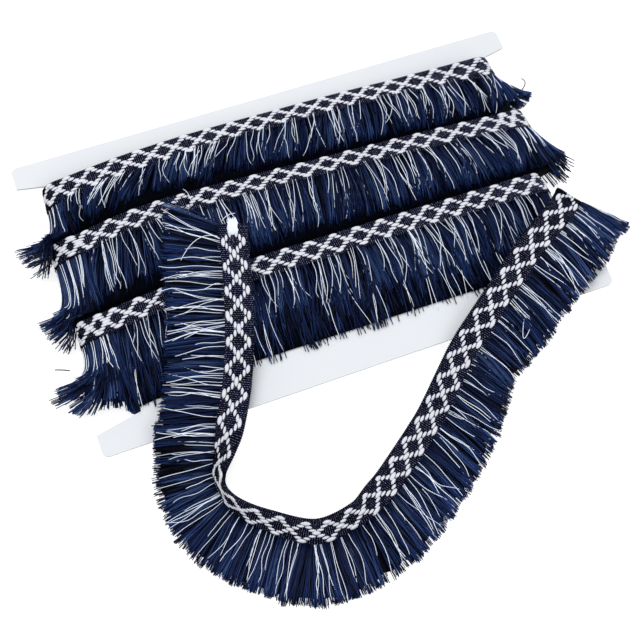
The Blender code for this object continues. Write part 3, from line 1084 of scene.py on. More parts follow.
@dataclass(frozen=True)
class WoundRow:
    """One row: the trim wound round the neck many times over."""

    name: str
    line: RowLine
    next_line: RowLine | None       # the next row's, which this row's fringe reaches down to
    winding: Winding
    crossing: float                 # x of one of the chain's crossings on the front
    cover: Table                    # (x, share of the reach that the outermost yarns cover)
    fall: Table                     # a front yarn: (share of its way down, radius)
    under_fall: Table               # the same for the innermost turn
    leans: Table                    # (x, degrees towards the right)
    threads: Table                  # (x, white threads for each diamond)
    pitch: float                    # of the chain
    seed: int
    shaded_inner_tone: float = 0.08        # of the lower turns' yarns, darkened as painted shade
    inner_yarns: int = 450          # in each layer of them
    lower_threads: float = 0.0      # share of the white threads that come from the lower turns
    mass_length: float = 1.0        # of the mass below them, as a share of theirs
    turns: int = 8
    tucked: float = 0.8             # how far a yarn's root is inside the heading

    def reach_at(self, x: np.ndarray) -> np.ndarray:
        """Measure the fringe.

        Args:
            x: places along the row.

        Returns:
            How far it reaches below its root there.
        """
        if self.next_line is None:
            return np.full(x.shape, LOWEST_REACH)
        return self.line.root_y(x) - self.next_line.free_y(x) - NEXT_ROW_CLEAR

    @property
    def start(self) -> float:
        """Where the outermost turn starts, at the middle of the back."""
        return float(self.winding.marks[2]) + self.winding.neck_half

    @property
    def phase(self) -> float:
        """Where round the neck one of the chain's crossings is, on the outermost turn."""
        return self.winding.round + self.winding.neck_half + self.crossing

    def on_braid(self, run: np.ndarray, across: np.ndarray, depth: np.ndarray | float = 0.0) -> np.ndarray:
        """Find points of the braid.

        Args:
            run: distances round the neck.
            across: distances from the chain's middle towards the fringe.
            depth: 0 on the outermost face and 1 on the card.

        Returns:
            The points.
        """
        way = self.winding
        x, angle = way.station(run)
        flat = self.line.flatness(x)
        turned = np.maximum(-TURNED - across, 0.0)
        level = FRINGE_MARGIN - np.maximum(across, -TURNED)
        drop = level * np.sqrt(1.0 - flat ** 2) + turned * TURN_DROP
        end = way.at_end(x, "radius") - level / HEADING_WIDTH - turned * TURN_DRAW
        top = way.oval(angle, way.front - drop, end, way.back - BACK_SLOPE * drop) - SUNK
        radius = way.inner + (top - way.inner) * (1.0 - depth)
        chain_y = self.line.root_y(x) + FRINGE_MARGIN * self.line.seen / HEADING_WIDTH
        return way.place(x, angle, chain_y + (level - FRINGE_MARGIN) * flat + turned * TURN_REACH, radius)

    def frame_at(self, run: np.ndarray, across: np.ndarray) -> tuple[np.ndarray, ...]:
        """Find places on the outermost braid.

        Args:
            run: distances round the neck.
            across: distances from the chain's middle towards the fringe.

        Returns:
            The points, and the directions along, across and out of the braid.
        """
        step = NORMAL_STEP
        point = self.on_braid(run, across)
        along = unit(self.on_braid(run + step, across) - self.on_braid(run - step, across))
        side = unit(self.on_braid(run, across + step) - self.on_braid(run, across - step))
        return point, along, side, np.cross(side, along)

    def braid_band(self) -> Band:
        """Wind the braid from its start on the card to its end on top.

        Returns:
            Its sections: bare ones where it is covered, two for each rib on the outermost turn.
        """
        rng = np.random.default_rng(self.seed)
        once = self.winding.round
        first_rib = math.ceil((self.turns - 1) * once / RIB_PITCH) * RIB_PITCH
        under = np.arange(0.0, first_rib - 2.0, UNDER_STEP)
        outer = np.arange(first_rib, self.turns * once, RIB_PITCH / 2)
        run = np.concatenate([under, outer])
        turn = np.floor(run / once)
        layer = np.maximum(turn - 1.0 + eased((run - turn * once) / LAYER_STEP), 0.0)
        top = 1.0 - (layer + 1.0) / self.turns
        shift = rng.normal(0.0, 0.45, self.turns + 1)
        shift[self.turns - 1:] = 0.0
        drift = np.interp(run / once, np.arange(self.turns + 1), shift)
        drift = np.clip(drift, -0.6, 0.7) * (turn < self.turns - 1)
        crest = np.where((np.arange(len(run)) - len(under)) % 2 == 0, 1.0, -1.0)
        face_points = 9
        across = np.linspace(-FREE_MARGIN, FRINGE_MARGIN, face_points)
        ways = self.start + run - (self.turns - 1) * once
        sections = []
        for k, a in enumerate(across):
            edge = RIB_SPREAD * crest * {0: -1.0, face_points - 1: 1.0}.get(k, 0.0)
            face = self.on_braid(ways, a + edge - drift, top)
            _, _, _, normal = self.frame_at(ways, np.full(len(run), a))
            bumps = RIB_HEIGHT * crest * (1.0 if k % 2 else 0.6)
            sections.append(face + normal * bumps[:, None])
        low = np.minimum(top + 0.92 / self.turns, 0.995)
        for a, edge in ((FRINGE_MARGIN, 1.0), (-FREE_MARGIN, -1.0)):
            sections.append(self.on_braid(ways, a + edge * RIB_SPREAD * crest - drift, low))
        return Band(np.stack(sections, axis=1), run, once)

    def fanning(self, roots: np.ndarray) -> np.ndarray:
        """How much the fringe fans out: 0 on the front and the back, 1 at an end."""
        _, angle = self.winding.station(roots)
        return read_table(FANNED, np.degrees(np.abs(np.arcsin(np.sin(angle)))))

    def fringe_paths(self, roots: np.ndarray, deep: np.ndarray, lie: Lie,
                     lift: np.ndarray | float = 0.0) -> tuple[np.ndarray, np.ndarray]:
        """Where yarns run from the heading's fringe side to their tips.

        Args:
            roots: each yarn's place round the neck.
            deep: 0 for a yarn of the outermost turn, 1 for the innermost.
            lie: how they lie.
            lift: how far each yarn lies above its layer.

        Returns:
            The paths, and for each yarn the way along the trim at its root.
        """
        way = self.winding
        x, angle = way.station(roots)
        share = np.linspace(0.0, 1.0, lie.aside.shape[1])[None]
        rooted = Rooted(roots, x, angle, deep, self.fanning(roots), lie, share)
        down, radius = self.hanging(rooted)
        fan_down, fan_radius = self.fanned(rooted)
        wide = rooted.wide[:, None]
        down = down + (fan_down - down) * wide
        radius = radius + (fan_radius - radius) * wide
        down = self.stopped(rooted, down, radius)
        run = self.swept(rooted, down)
        lifted = np.asarray(lift) * np.ones(len(roots))
        radius = radius + lifted[:, None] * np.sin(math.pi * np.clip(share, 0.05, 1.0))
        y = self.line.root_y(x)[:, None] + self.tucked - down
        path = way.place(*way.station(run), y, radius)
        path[..., 2] = np.maximum(path[..., 2], FLOOR_CLEAR)
        edge, step = np.full(len(roots), 5.0), NORMAL_STEP
        return path, unit(self.on_braid(roots + step, edge) - self.on_braid(roots - step, edge))

    def hanging(self, rooted: Rooted) -> tuple[np.ndarray, np.ndarray]:
        """Hang yarns down the row's front and back.

        Args:
            rooted: the yarns.

        Returns:
            How far down each point is, and its radius from the card's middle plane.
        """
        x, share = rooted.x, rooted.share
        reach = self.reach_at(x)[:, None] + self.tucked
        on_back = np.sin(rooted.angle)[:, None] < 0.0
        mix = np.clip(rooted.deep, 0.0, 1.0)[:, None]
        outer, under = self.profile(self.fall, share), self.profile(self.under_fall, share)
        cover = read_table(self.cover, x)[:, None]
        down_share = np.where(on_back, share, outer[0] * cover * (1.0 - mix) + under[0] * mix)
        flat_back = self.winding.back - YARN_SUNK - TURNS_DEEP * mix - TIP_SUNK * share
        radius = np.where(on_back, flat_back, outer[1] + (under[1] - outer[1]) * mix ** 0.7)
        down = reach * down_share * rooted.lie.length[:, None] * (1.0 + LOWER_LONGER * mix)
        return np.minimum(down, reach + NEXT_ROW_CLEAR + PAST_NEXT), radius

    def fanned(self, rooted: Rooted) -> tuple[np.ndarray, np.ndarray]:
        """Fan yarns out past the row's ends, where they hang straight at first.

        Args:
            rooted: the yarns.

        Returns:
            How far down each point is, and its radius from the card's middle plane.
        """
        way, x, deep, lie, share = self.winding, rooted.x, rooted.deep, rooted.lie, rooted.share
        vary = np.random.default_rng(self.seed + 7).uniform(*FAN_UNEVEN, lie.lock.max() + 1)[lie.lock]
        end, burst = way.at_end(x, "radius"), way.at_end(x, "burst")[:, None]
        tip_down = way.at_end(x, "drop") + read_table(FAN_DROP, deep)
        tip_down = tip_down * (1.0 - TIP_EASE + TIP_EASE * lie.length)
        lowest = FAN_LOWEST * (self.reach_at(x) + self.tucked)
        tip_down = np.where(way.at_end(x, "falls"), tip_down, np.minimum(tip_down, lowest))
        tip_out = read_table(FAN_SHARE, deep) * vary * way.at_end(x, "flare") * lie.length
        hang = 1.0 + (burst - 1.0) * read_table(FAN_HANG, deep)[:, None]
        down = tip_down[:, None] * (1.0 - (1.0 - share) ** hang)
        first = (end - self.tucked - FAN_DEEP * np.clip(deep, 0.0, 1.0))[:, None]
        out = first + ((end + tip_out)[:, None] - first) * share ** burst
        return down, way.oval(rooted.angle[:, None], way.front - 1.0, out, way.back - 0.5)

    def stopped(self, rooted: Rooted, down: np.ndarray, radius: np.ndarray) -> np.ndarray:
        """Stop yarns that pass over the next row's end short of its heading.

        Args:
            rooted: the yarns.
            down: how far down each point is.
            radius: its radius from the card's middle plane.

        Returns:
            How far down each point is allowed to be.
        """
        x, angle = rooted.x, rooted.angle[:, None]
        within = radius * np.cos(angle) ** 2 < self.winding.at_end(x, "clears")[:, None]
        over_end = within & (np.sin(angle) > -0.5) & (self.next_line is not None)
        lowest = self.reach_at(x)[:, None] + self.tucked + NEXT_ROW_CLEAR - END_STOP
        return np.where(over_end, np.minimum(down, lowest), down)

    def swept(self, rooted: Rooted, down: np.ndarray) -> np.ndarray:
        """Sweep yarns sideways: by the comb's lean, then by how each lies in its clump.

        Args:
            rooted: the yarns.
            down: how far down each point is.

        Returns:
            Each point's place round the neck.
        """
        roots, x, marks = rooted.roots, rooted.x, self.winding.marks
        lean = np.radians(read_table(self.leans, x)) * (1.0 - rooted.wide) + rooted.lie.lean
        lean = np.where(np.sin(rooted.angle) < 0.0, -0.5 * lean, lean)
        run = roots[:, None] + np.tan(lean)[:, None] * down + rooted.lie.aside
        middles = np.where(x < 0.0, (marks[3] + marks[4]) / 2, (marks[1] + marks[2]) / 2)
        off_middle = (middles - np.mod(roots, self.winding.round))[:, None]
        return run + off_middle * FAN_SWEEP * rooted.wide[:, None] * rooted.share ** 2

    @staticmethod
    def profile(table: Table, share: np.ndarray) -> tuple[np.ndarray, np.ndarray]:
        """Read a fall at even shares of its length.

        Args:
            table: the fall, rows of (share of the reach, radius).
            share: the shares of its length.

        Returns:
            The shares of the reach and the radii there.
        """
        downs, radii = np.array(table).T
        lengths = np.concatenate([[0.0], np.cumsum(np.hypot(np.diff(downs) * 12.0, np.diff(radii)))])
        where = share * lengths[-1]
        return np.interp(where, lengths, downs), np.interp(where, lengths, radii)

    def weft(self) -> Yarns:
        """Comb the coloured yarns of all the turns.

        Returns:
            The yarns, outermost last.
        """
        rng = np.random.default_rng(self.seed + 1)
        yarns = Yarns()
        # The deeper turns take darker tones as painted shade, with less of it where the fringe fans out
        # past the ends.
        layers = (                      # (depth, yarns, tone, thinnest radius)
            (0.86, self.inner_yarns, self.shaded_inner_tone, 0.20),
            (0.62, self.inner_yarns, self.shaded_inner_tone + 0.04, 0.19),
            (0.32, 1250, 0.34, 0.17),
            (0.08, 2700, 0.58, 0.14),
        )
        for deep, many, tone, thin in layers:
            roots = self.winding.spread(many, 2.0, rng)
            lie = Combing(uneven=0.03, ragged=0.05).lie(roots, 6, rng)
            depth = deep + rng.uniform(-0.12, 0.12, many)
            paths, side = self.fringe_paths(roots, depth, lie)
            tones = tone + 0.22 * deep * self.fanning(roots) + lie.tones((0.05, 0.09, 0.25), rng)
            yarns.add(paths, rng.uniform(thin, thin + 0.06, many), tones, side)
        return yarns

    def white(self) -> Yarns:
        """Comb the sparse white threads on top of the fringe.

        Returns:
            The threads.
        """
        rng = np.random.default_rng(self.seed + 2)
        roots = thread_roots(self.phase + self.pitch / 2, self.pitch, self.winding.round,
                             lambda run: read_table(self.threads, self.winding.station(run)[0]), rng)
        many = len(roots)
        lie = THREAD_COMBING.lie(roots, THREAD_POINTS, rng)
        depth = rng.choice((-0.04, 0.04, 0.25), many, p=(0.80, 0.15, 0.05))
        lower = rng.uniform(0.0, 1.0, many) < self.lower_threads
        depth = np.where(lower, rng.uniform(0.78, 0.95, many), depth)
        lie = replace(lie, length=np.where(lower, np.maximum(lie.length, 0.94), lie.length))
        paths, side = self.fringe_paths(roots, depth, lie, rng.uniform(0.35, 0.9, many) + 1.1 * lower)
        yarns = Yarns()
        yarns.add(paths, rng.uniform(*THREAD_RADIUS, many), rng.uniform(0.2, 1.0, many), side)
        return yarns

    def under_turns(self, finish: bpy.types.Material) -> bpy.types.Object:
        """Model the mass of the lower turns' yarn, a closed ring below the yarns that show.

        Args:
            finish: its material.

        Returns:
            The piece.
        """
        stations, steps = 90, 8
        way = self.winding
        runs = np.arange(stations) * way.round / stations
        alike = np.zeros(stations, int)
        still = Lie(np.zeros(stations), np.full(stations, self.mass_length), np.zeros((stations, steps)),
                    alike, alike)
        left, right = (replace(end, flare=0.6, drop=end.drop - 7.0) for end in (way.left, way.right))
        bare = replace(self, winding=replace(way, left=left, right=right))
        outer, _ = bare.fringe_paths(runs, np.full(stations, 0.75), still)
        inner, _ = bare.fringe_paths(runs, np.ones(stations), still)
        x, angle = way.station(runs)
        low = np.full(stations, way.inner + 0.2)
        inner_foot = way.place(x, angle, inner[:, -1, 1], low)
        inner_root = way.place(x, angle, outer[:, 0, 1], low)
        ring = np.concatenate([outer, inner[:, -1:], inner_foot[:, None], inner_root[:, None]], axis=1)
        corners = ring.shape[1]
        quads = side_faces(np.append(np.arange(stations) * corners, 0), corners)
        ends, sides = np.arange(stations + 1) / stations, np.arange(corners + 1) / corners
        u = np.stack([ends[:-1], ends[:-1], ends[1:], ends[1:]], axis=-1)[:, None, :]
        v = np.stack([sides[:-1], sides[1:], sides[1:], sides[:-1]], axis=-1)[None]
        places = np.stack(np.broadcast_arrays(u, v), axis=-1).reshape(-1, 4, 2) * 0.98 + 0.01
        name, maps = self.name + "_under_turns", {BAKE_MAP: [places]}
        return piece_of(name, ring.reshape(-1, 3), [quads], maps, finish)


# ----------------------------------------------------------------- the tail


@dataclass(frozen=True)
class Tail:
    """The loose length: from the lowest row's right end, in a U, to its cut end over the rows.

    route has a row for each place: x and y of the diamond chain, seat, the
    height of the braid's lower side, tilt, how far the free edge is lifted in
    degrees, tips, the height of the fringe's tips, and lean, the fringe's lean
    towards the cut end in degrees.
    """

    route: Table
    threads: Table                  # (distance along, white threads for each diamond)
    phase: float                    # where one of the chain's crossings is
    pitch: float = 10.03
    length: float = 22.0
    thick: float = 1.3
    free: float = 5.9               # from the chain's middle to the free edge
    margin: float = 6.1             # and to the fringe's roots
    seed: int = 40
    fine: int = 160                 # steps between two rows of the route

    def __post_init__(self) -> None:
        """Work out the stations once."""
        object.__setattr__(self, "stations", self.work_out())

    def work_out(self) -> dict[str, np.ndarray]:
        """Run a smooth curve through the route's rows.

        Returns:
            By name, the run, chain, along, out, width, face, seat, tips and lean of
            the braid at fine steps along it.
        """
        table = np.array(self.route)
        last = len(table) - 1
        where = np.linspace(0.0, last, last * self.fine + 1)
        i = np.minimum(where.astype(int), last - 1)
        share = (where - i)[:, None]
        before, start = table[np.maximum(i - 1, 0)], table[i]
        end, after = table[i + 1], table[np.minimum(i + 2, last)]
        slope_in, slope_out = (end - before) / 2, (after - start) / 2
        a = 2 * start - 2 * end + slope_in + slope_out
        b = -3 * start + 3 * end - 2 * slope_in - slope_out
        value = ((a * share + b) * share + slope_in) * share + start
        value[:, 2:5] = np.maximum(value[:, 2:5], 0.0)
        seat_line = value[:, :3]
        run = np.concatenate([[0.0], np.cumsum(np.linalg.norm(np.diff(seat_line, axis=0), axis=1))])
        along = unit(np.gradient(seat_line, axis=0))
        out = unit(np.stack([-along[:, 1], along[:, 0], np.zeros(len(along))], axis=-1))
        up = np.cross(along, out)
        tilt = np.radians(value[:, 3])[:, None]
        width = out * np.cos(tilt) - up * np.sin(tilt)
        face = up * np.cos(tilt) + out * np.sin(tilt)
        chain = seat_line.copy()
        corner = width * FRINGE_MARGIN
        low = np.minimum(corner[:, 2], (corner - face * self.thick)[:, 2])
        chain[:, 2] -= low
        return dict(run=run, chain=chain, along=along, out=out, width=width, face=face,
                    seat=value[:, 2], tips=value[:, 4], lean=np.radians(value[:, 5]))

    @property
    def total(self) -> float:
        """The tail's length along its chain."""
        return float(self.stations["run"][-1])

    def read(self, name: str, run: np.ndarray) -> np.ndarray:
        """Read one of the stations' columns.

        Args:
            name: the column.
            run: distances along the tail.

        Returns:
            Its numbers or vectors there.
        """
        column = self.stations[name]
        if column.ndim == 1:
            return np.interp(run, self.stations["run"], column)
        return np.stack([np.interp(run, self.stations["run"], column[:, k]) for k in range(3)], axis=-1)

    def frame_at(self, run: np.ndarray, across: np.ndarray) -> tuple[np.ndarray, ...]:
        """Find places on the braid.

        Args:
            run: distances along the tail.
            across: distances from the chain's middle towards the fringe.

        Returns:
            The points, and the directions along, across and out of the braid.
        """
        along, width, face = self.read("along", run), self.read("width", run), self.read("face", run)
        point = self.read("chain", run) + width * across[:, None] - 0.15 * face
        return point, along, width, face

    def braid_band(self) -> Band:
        """Lay the braid along the tail.

        Returns:
            Its sections, two for each rib.
        """
        rng = np.random.default_rng(self.seed)
        run = np.arange(0.0, self.total - 1.1, RIB_PITCH / 2)
        crest = np.where(np.arange(len(run)) % 2 == 0, 1.0, -1.0)
        face_points = 11
        knots = np.linspace(0.0, self.total, 60)
        sway = np.interp(run, knots, rng.normal(0.0, 0.12, 60))
        sections = []
        for k, a in enumerate(np.linspace(-self.free, self.margin, face_points)):
            edge = RIB_SPREAD * crest * {0: -1.0, face_points - 1: 1.0}.get(k, 0.0)
            free = sway if k == 0 else 0.0
            point, _, width, face = self.frame_at(run, np.full(len(run), a))
            height = RIB_HEIGHT * crest * (1.0 if k % 2 else 0.55)
            rounded = -0.25 if k in (0, face_points - 1) else 0.0
            sections.append(point + width * (edge + free)[:, None] + face * (height + rounded)[:, None])
        for a, sign, low in ((self.margin, 1.0, self.thick - 0.25), (-self.free, -1.0, self.thick - 0.3)):
            point, _, width, face = self.frame_at(run, np.full(len(run), a))
            sections.append(point + width * (sign * RIB_SPREAD * crest * 0.5)[:, None] - face * low)
        return Band(np.stack(sections, axis=1), run, self.total / 2)

    def fringe_paths(self, roots: np.ndarray, deep: np.ndarray, lie: Lie,
                     lift: np.ndarray | float = 0.0) -> tuple[np.ndarray, np.ndarray]:
        """Where yarns run from the braid's fringe side to their tips.

        Args:
            roots: each yarn's place along the tail.
            deep: 0 for a yarn on top, 1 for the lowest.
            lie: how they lie.
            lift: how far each yarn lies above its layer.

        Returns:
            The paths, and for each yarn the level way along the tail at its root.
        """
        many, steps = lie.aside.shape
        share = np.linspace(0.0, 1.0, steps)
        out = self.read("out", roots)
        flat = unit(self.read("along", roots) * np.array((1.0, 1.0, 0.0)))
        seat, tips = self.read("seat", roots), self.read("tips", roots)
        lean = self.read("lean", roots) + lie.lean
        way = out * np.cos(lean)[:, None] + flat * np.sin(lean)[:, None]
        edge, _, width, _ = self.frame_at(roots, np.full(many, self.margin))
        root = edge - width * 0.9
        reach = np.sqrt(np.maximum(self.length ** 2 - (seat - tips) ** 2, 100.0)) * lie.length + 0.9
        path = (root[:, None] + way[:, None] * (reach[:, None] * share[None])[..., None]
                + flat[:, None] * lie.aside[..., None])
        layer = 0.25 + (1.0 - deep) * 0.95
        lifted = np.asarray(lift) * np.ones(many)
        hump = np.sin(math.pi * share)[None] * (0.45 * (1.0 - deep) + lifted)[:, None]
        path[..., 2] = (seat[:, None] + (tips - seat)[:, None] * share[None] ** 1.1
                        + layer[:, None] * (1.0 - 0.25 * share[None]) + hump)
        return path, flat

    def weft(self) -> Yarns:
        """Comb the coloured yarns.

        Returns:
            The yarns, lowest first.
        """
        rng = np.random.default_rng(self.seed + 1)
        yarns = Yarns()
        combing = Combing(lock_lean=2.5, clump_lean=3.0, yarn_lean=2.0, lock_pull=0.09, ragged=0.03)
        # The lower layers take darker tones as painted shade under the yarns above.
        layers = ((0.95, 750, -0.04), (0.55, 1100, 0.14), (0.12, 1700, 0.54))      # (depth, yarns, tone)
        for deep, many, tone in layers:
            spread = read_table(TAIL_CROWDING, rng.uniform(0.0, 1.0, many))
            roots = np.sort(0.4 + spread * (self.total - 0.6))
            lie = combing.lie(roots, 7, rng)
            depth = np.clip(deep + rng.uniform(-0.2, 0.2, many), 0.0, 1.0)
            paths, side = self.fringe_paths(roots, depth, lie)
            radius = rng.uniform(0.17, 0.23, many)
            yarns.add(paths, radius, tone + lie.tones((0.06, 0.10, 0.24), rng), side)
        return yarns

    def white(self) -> Yarns:
        """Comb the white threads, in groups below the diamonds.

        Returns:
            The threads.
        """
        rng = np.random.default_rng(self.seed + 2)
        roots = thread_roots(self.phase + self.pitch / 2, self.pitch, self.total,
                             lambda run: read_table(self.threads, run), rng)
        many = len(roots)
        combing = replace(THREAD_COMBING, lock_lean=2.0, clump_lean=3.0, yarn_lean=3.0, kink=2.0)
        lie = combing.lie(roots, THREAD_POINTS, rng)
        deep = rng.choice((-0.1, 0.0, 0.3), many, p=(0.76, 0.2, 0.04))
        paths, side = self.fringe_paths(roots, deep, lie, rng.uniform(0.35, 0.8, many))
        yarns = Yarns()
        yarns.add(paths, rng.uniform(*THREAD_RADIUS, many), rng.uniform(0.2, 1.0, many), side)
        return yarns

    def under_yarns(self) -> Band:
        """Model the mass of the lowest yarns.

        Returns:
            The sections of a thin layer that ends short of the tips.
        """
        rng = np.random.default_rng(self.seed + 4)
        run = np.linspace(0.8, self.total - 1.6, 320)
        many, steps = len(run), 6
        alike = np.zeros(many, int)
        still = Lie(np.zeros(many), rng.uniform(0.84, 0.90, many), np.zeros((many, steps)), alike, alike)
        paths, _ = self.fringe_paths(run, np.ones(many), still)
        upper, lower = paths.copy(), paths[:, ::-1].copy()
        upper[..., 2] += 0.12
        lower[..., 2] -= 0.15
        return Band(np.concatenate([upper, lower], axis=1), run, self.total)

    def tuft(self) -> Yarns:
        """Model the frayed white yarns at the cut end.

        Returns:
            The yarns.
        """
        rng = np.random.default_rng(self.seed + 3)
        many, steps = 170, 7
        share = np.linspace(0.0, 1.0, steps)[None]
        start = self.total - rng.uniform(4.6, 6.0, many)
        across = rng.uniform(-1.9, 1.9, many)
        point, along, width, face = self.frame_at(start, across)
        narrow = (-across * 0.25 + rng.normal(0.0, 0.35, many))[:, None] * share ** 0.8
        narrow = narrow + rng.normal(0.0, 0.25, (many, 1)) * np.sin(FULL_TURN * share)
        reach = rng.uniform(3.6, 6.2, many)
        rise = 0.25 + 0.6 * np.sin(math.pi * share * 0.85) * rng.uniform(0.2, 1.0, (many, 1))
        path = (point[:, None] + along[:, None] * (reach[:, None] * share)[..., None]
                + width[:, None] * narrow[..., None] + face[:, None] * rise[..., None])
        yarns = Yarns()
        yarns.add(path, rng.uniform(0.14, 0.2, many), rng.uniform(0.4, 1.0, many), width)
        return yarns


@dataclass(frozen=True)
class Stray:
    """A single yarn that has worked loose, through three places."""

    places: Table
    tone: float
    radius: float = 0.17

    def add_to(self, yarns: Yarns) -> None:
        """Run a parabola through the places.

        Args:
            yarns: what the stray joins.
        """
        t = np.linspace(0.0, 1.0, 11)[:, None]
        first, middle, last = np.array(self.places)
        path = first * 2 * (t - 0.5) * (t - 1.0) - middle * 4 * t * (t - 1.0) + last * 2 * t * (t - 0.5)
        up = np.array([[0.0, 0.0, 1.0]])
        yarns.add(path[None], np.array([self.radius]), np.array([self.tone]), up)


# ---------------------------------------------------------------- the stage


@dataclass(frozen=True)
class Stage:
    """The floor, the soft lights and the camera."""

    camera_place: tuple[float, float, float] = (-98.05, -154.67, 433.23)
    camera_right: tuple[float, float, float] = (0.9315, -0.3519, 0.0918)
    camera_up: tuple[float, float, float] = (0.3089, 0.8988, 0.3109)
    field_of_view: float = 31.35    # degrees
    floor_half: float = 1500.0
    floor_gap: float = 0.3

    def build(self, finish: bpy.types.Material) -> None:
        """Make all of it.

        Args:
            finish: the floor's material.
        """
        self.floor(finish)
        self.light("key_light", (-150.0, 250.0, 980.0), 800.0, 6.5)
        self.light("fill_light", (420.0, -420.0, 700.0), 600.0, 1.3)
        self.camera()
        world = bpy.data.worlds.new("soft_daylight")
        world.use_nodes = True
        backdrop = world.node_tree.nodes["Background"]
        backdrop.inputs["Color"].default_value = (0.97, 0.98, 1.0, 1.0)
        backdrop.inputs["Strength"].default_value = 0.42
        bpy.context.scene.world = world
        bpy.context.scene.view_settings.view_transform = "Standard"

    def floor(self, finish: bpy.types.Material) -> None:
        """Lay a wide level sheet just below the trim.

        Args:
            finish: its material.
        """
        half, z = self.floor_half, -self.floor_gap
        points = np.array([(-half, -half, z), (half, -half, z), (half, half, z), (-half, half, z)])
        mesh = bpy.data.meshes.new("floor")
        mesh.from_pydata((points * MM).tolist(), [], [(0, 1, 2, 3)])
        mesh.materials.append(finish)
        obj = bpy.data.objects.new("floor", mesh)
        bpy.context.collection.objects.link(obj)

    def light(self, name: str, place: tuple[float, float, float], size: float, power: float) -> None:
        """Hang a square soft light that faces the middle of the trim.

        Args:
            name: the light's name.
            place: where it hangs, in millimetres.
            size: its side, in millimetres.
            power: its power in watts.
        """
        lamp = bpy.data.lights.new(name, "AREA")
        lamp.shape = "SQUARE"
        lamp.size = size * MM
        lamp.energy = power
        obj = bpy.data.objects.new(name, lamp)
        obj.location = Vector(place) * MM
        obj.rotation_euler = (-obj.location).to_track_quat("-Z", "Y").to_euler()
        bpy.context.collection.objects.link(obj)

    def camera(self) -> None:
        """Place the camera above and to the left of the trim's front."""
        right, up = Vector(self.camera_right), Vector(self.camera_up)
        back = right.cross(up).normalized()
        up = back.cross(right).normalized()
        right = up.cross(back)
        turn = Matrix((right, up, back)).transposed().to_4x4()
        lens = bpy.data.cameras.new("camera")
        lens.sensor_width = 36.0
        lens.lens = 18.0 / math.tan(math.radians(self.field_of_view) / 2)
        obj = bpy.data.objects.new("camera", lens)
        obj.matrix_world = Matrix.Translation(Vector(self.camera_place) * MM) @ turn
        bpy.context.collection.objects.link(obj)
        bpy.context.scene.camera = obj


# ------------------------------------------------------------ sizes in use

FRONT_FALL = ((0.0, 9.7), (0.32, 10.0), (0.60, 9.4), (0.80, 8.0), (0.93, 6.2), (1.0, 4.6))
FRONT_UNDER = ((0.0, 3.0), (0.45, 3.6), (0.75, 3.4), (0.92, 2.6), (1.0, 1.9))
LOWEST_FALL = ((0.0, 9.7), (0.3, 10.0), (0.58, 8.6), (0.84, 6.2), (1.0, 3.6))
LOWEST_UNDER = ((0.0, 2.4), (0.5, 2.2), (0.8, 1.7), (1.0, 1.4))
LINES = (
    RowLine(chain=47.9, rise=-0.010, bow=3.8, droop=1.8, seen=9.2,
            flats=((-89.0, 0.97), (-40.0, 0.95), (0.0, 0.90), (50.0, 0.91), (89.0, 0.99))),
    RowLine(chain=22.4, rise=-0.040, bow=1.8, droop=6.8, seen=10.2,
            flats=((-89.0, 0.95), (-40.0, 0.93), (10.0, 0.89), (89.0, 0.93))),
    RowLine(chain=-11.7, rise=-0.010, bow=0.2, droop=4.7, seen=11.3, flats=((-89.0, 0.95), (89.0, 0.95))),
)

ROWS = (
    WoundRow(name="row_1", line=LINES[0], next_line=LINES[1], crossing=56.3, pitch=9.94, seed=11,
             winding=Winding(left=WoundEnd(10.5, 18.0, burst=2.6),
                             right=WoundEnd(9.5, 10.5, falls=False, drop=13.5)),
             cover=((-89.0, 0.76), (-40.0, 0.78), (0.0, 0.88), (45.0, 0.96), (89.0, 0.98)),
             fall=FRONT_FALL, under_fall=FRONT_UNDER,
             leans=((-89.0, -20.0), (-72.0, -42.0), (-40.0, -32.0), (-10.0, -22.0), (20.0, -10.0),
                    (50.0, -2.0), (75.0, 4.0), (89.0, 8.0)),
             threads=((-89.0, 4.0), (-40.0, 4.5), (0.0, 4.5), (50.0, 5.5), (89.0, 5.5))),
    WoundRow(name="row_2", line=LINES[1], next_line=LINES[2], crossing=48.3, pitch=10.08, seed=12,
             winding=Winding(left=WoundEnd(14.5, 15.0, burst=2.6, drop=21.0),
                             right=WoundEnd(14.5, 12.0, clears=9.8)),
             cover=((-89.0, 0.86), (-50.0, 0.85), (0.0, 0.85), (50.0, 0.92), (89.0, 0.94)),
             fall=FRONT_FALL, under_fall=FRONT_UNDER,
             leans=((-89.0, -20.0), (-75.0, -16.0), (-62.0, 2.0), (-48.0, 4.0), (-20.0, -8.0),
                    (10.0, -8.0), (40.0, 4.0), (60.0, 12.0), (75.0, 18.0), (89.0, 24.0)),
             threads=((-89.0, 6.0), (-50.0, 6.0), (0.0, 4.5), (50.0, 5.5), (89.0, 5.0))),
    WoundRow(name="row_3", line=LINES[2], next_line=None, crossing=49.3, pitch=10.10, seed=13,
             shaded_inner_tone=0.26, inner_yarns=1000, mass_length=0.86, lower_threads=0.3,
             winding=Winding(left=WoundEnd(14.5, 17.5, burst=2.6, drop=13.5), right=WoundEnd(9.5, -2.5)),
             cover=((-89.0, 0.52), (-20.0, 0.54), (30.0, 0.61), (89.0, 0.68)),
             fall=LOWEST_FALL, under_fall=LOWEST_UNDER,
             leans=((-89.0, -8.0), (-75.0, -2.0), (-60.0, 5.0), (-30.0, -2.0), (0.0, -5.0), (30.0, 1.0),
                    (60.0, 6.0), (89.0, 8.0)),
             threads=((-89.0, 8.0), (-40.0, 6.5), (0.0, 6.5), (50.0, 8.0), (89.0, 7.5))),
)

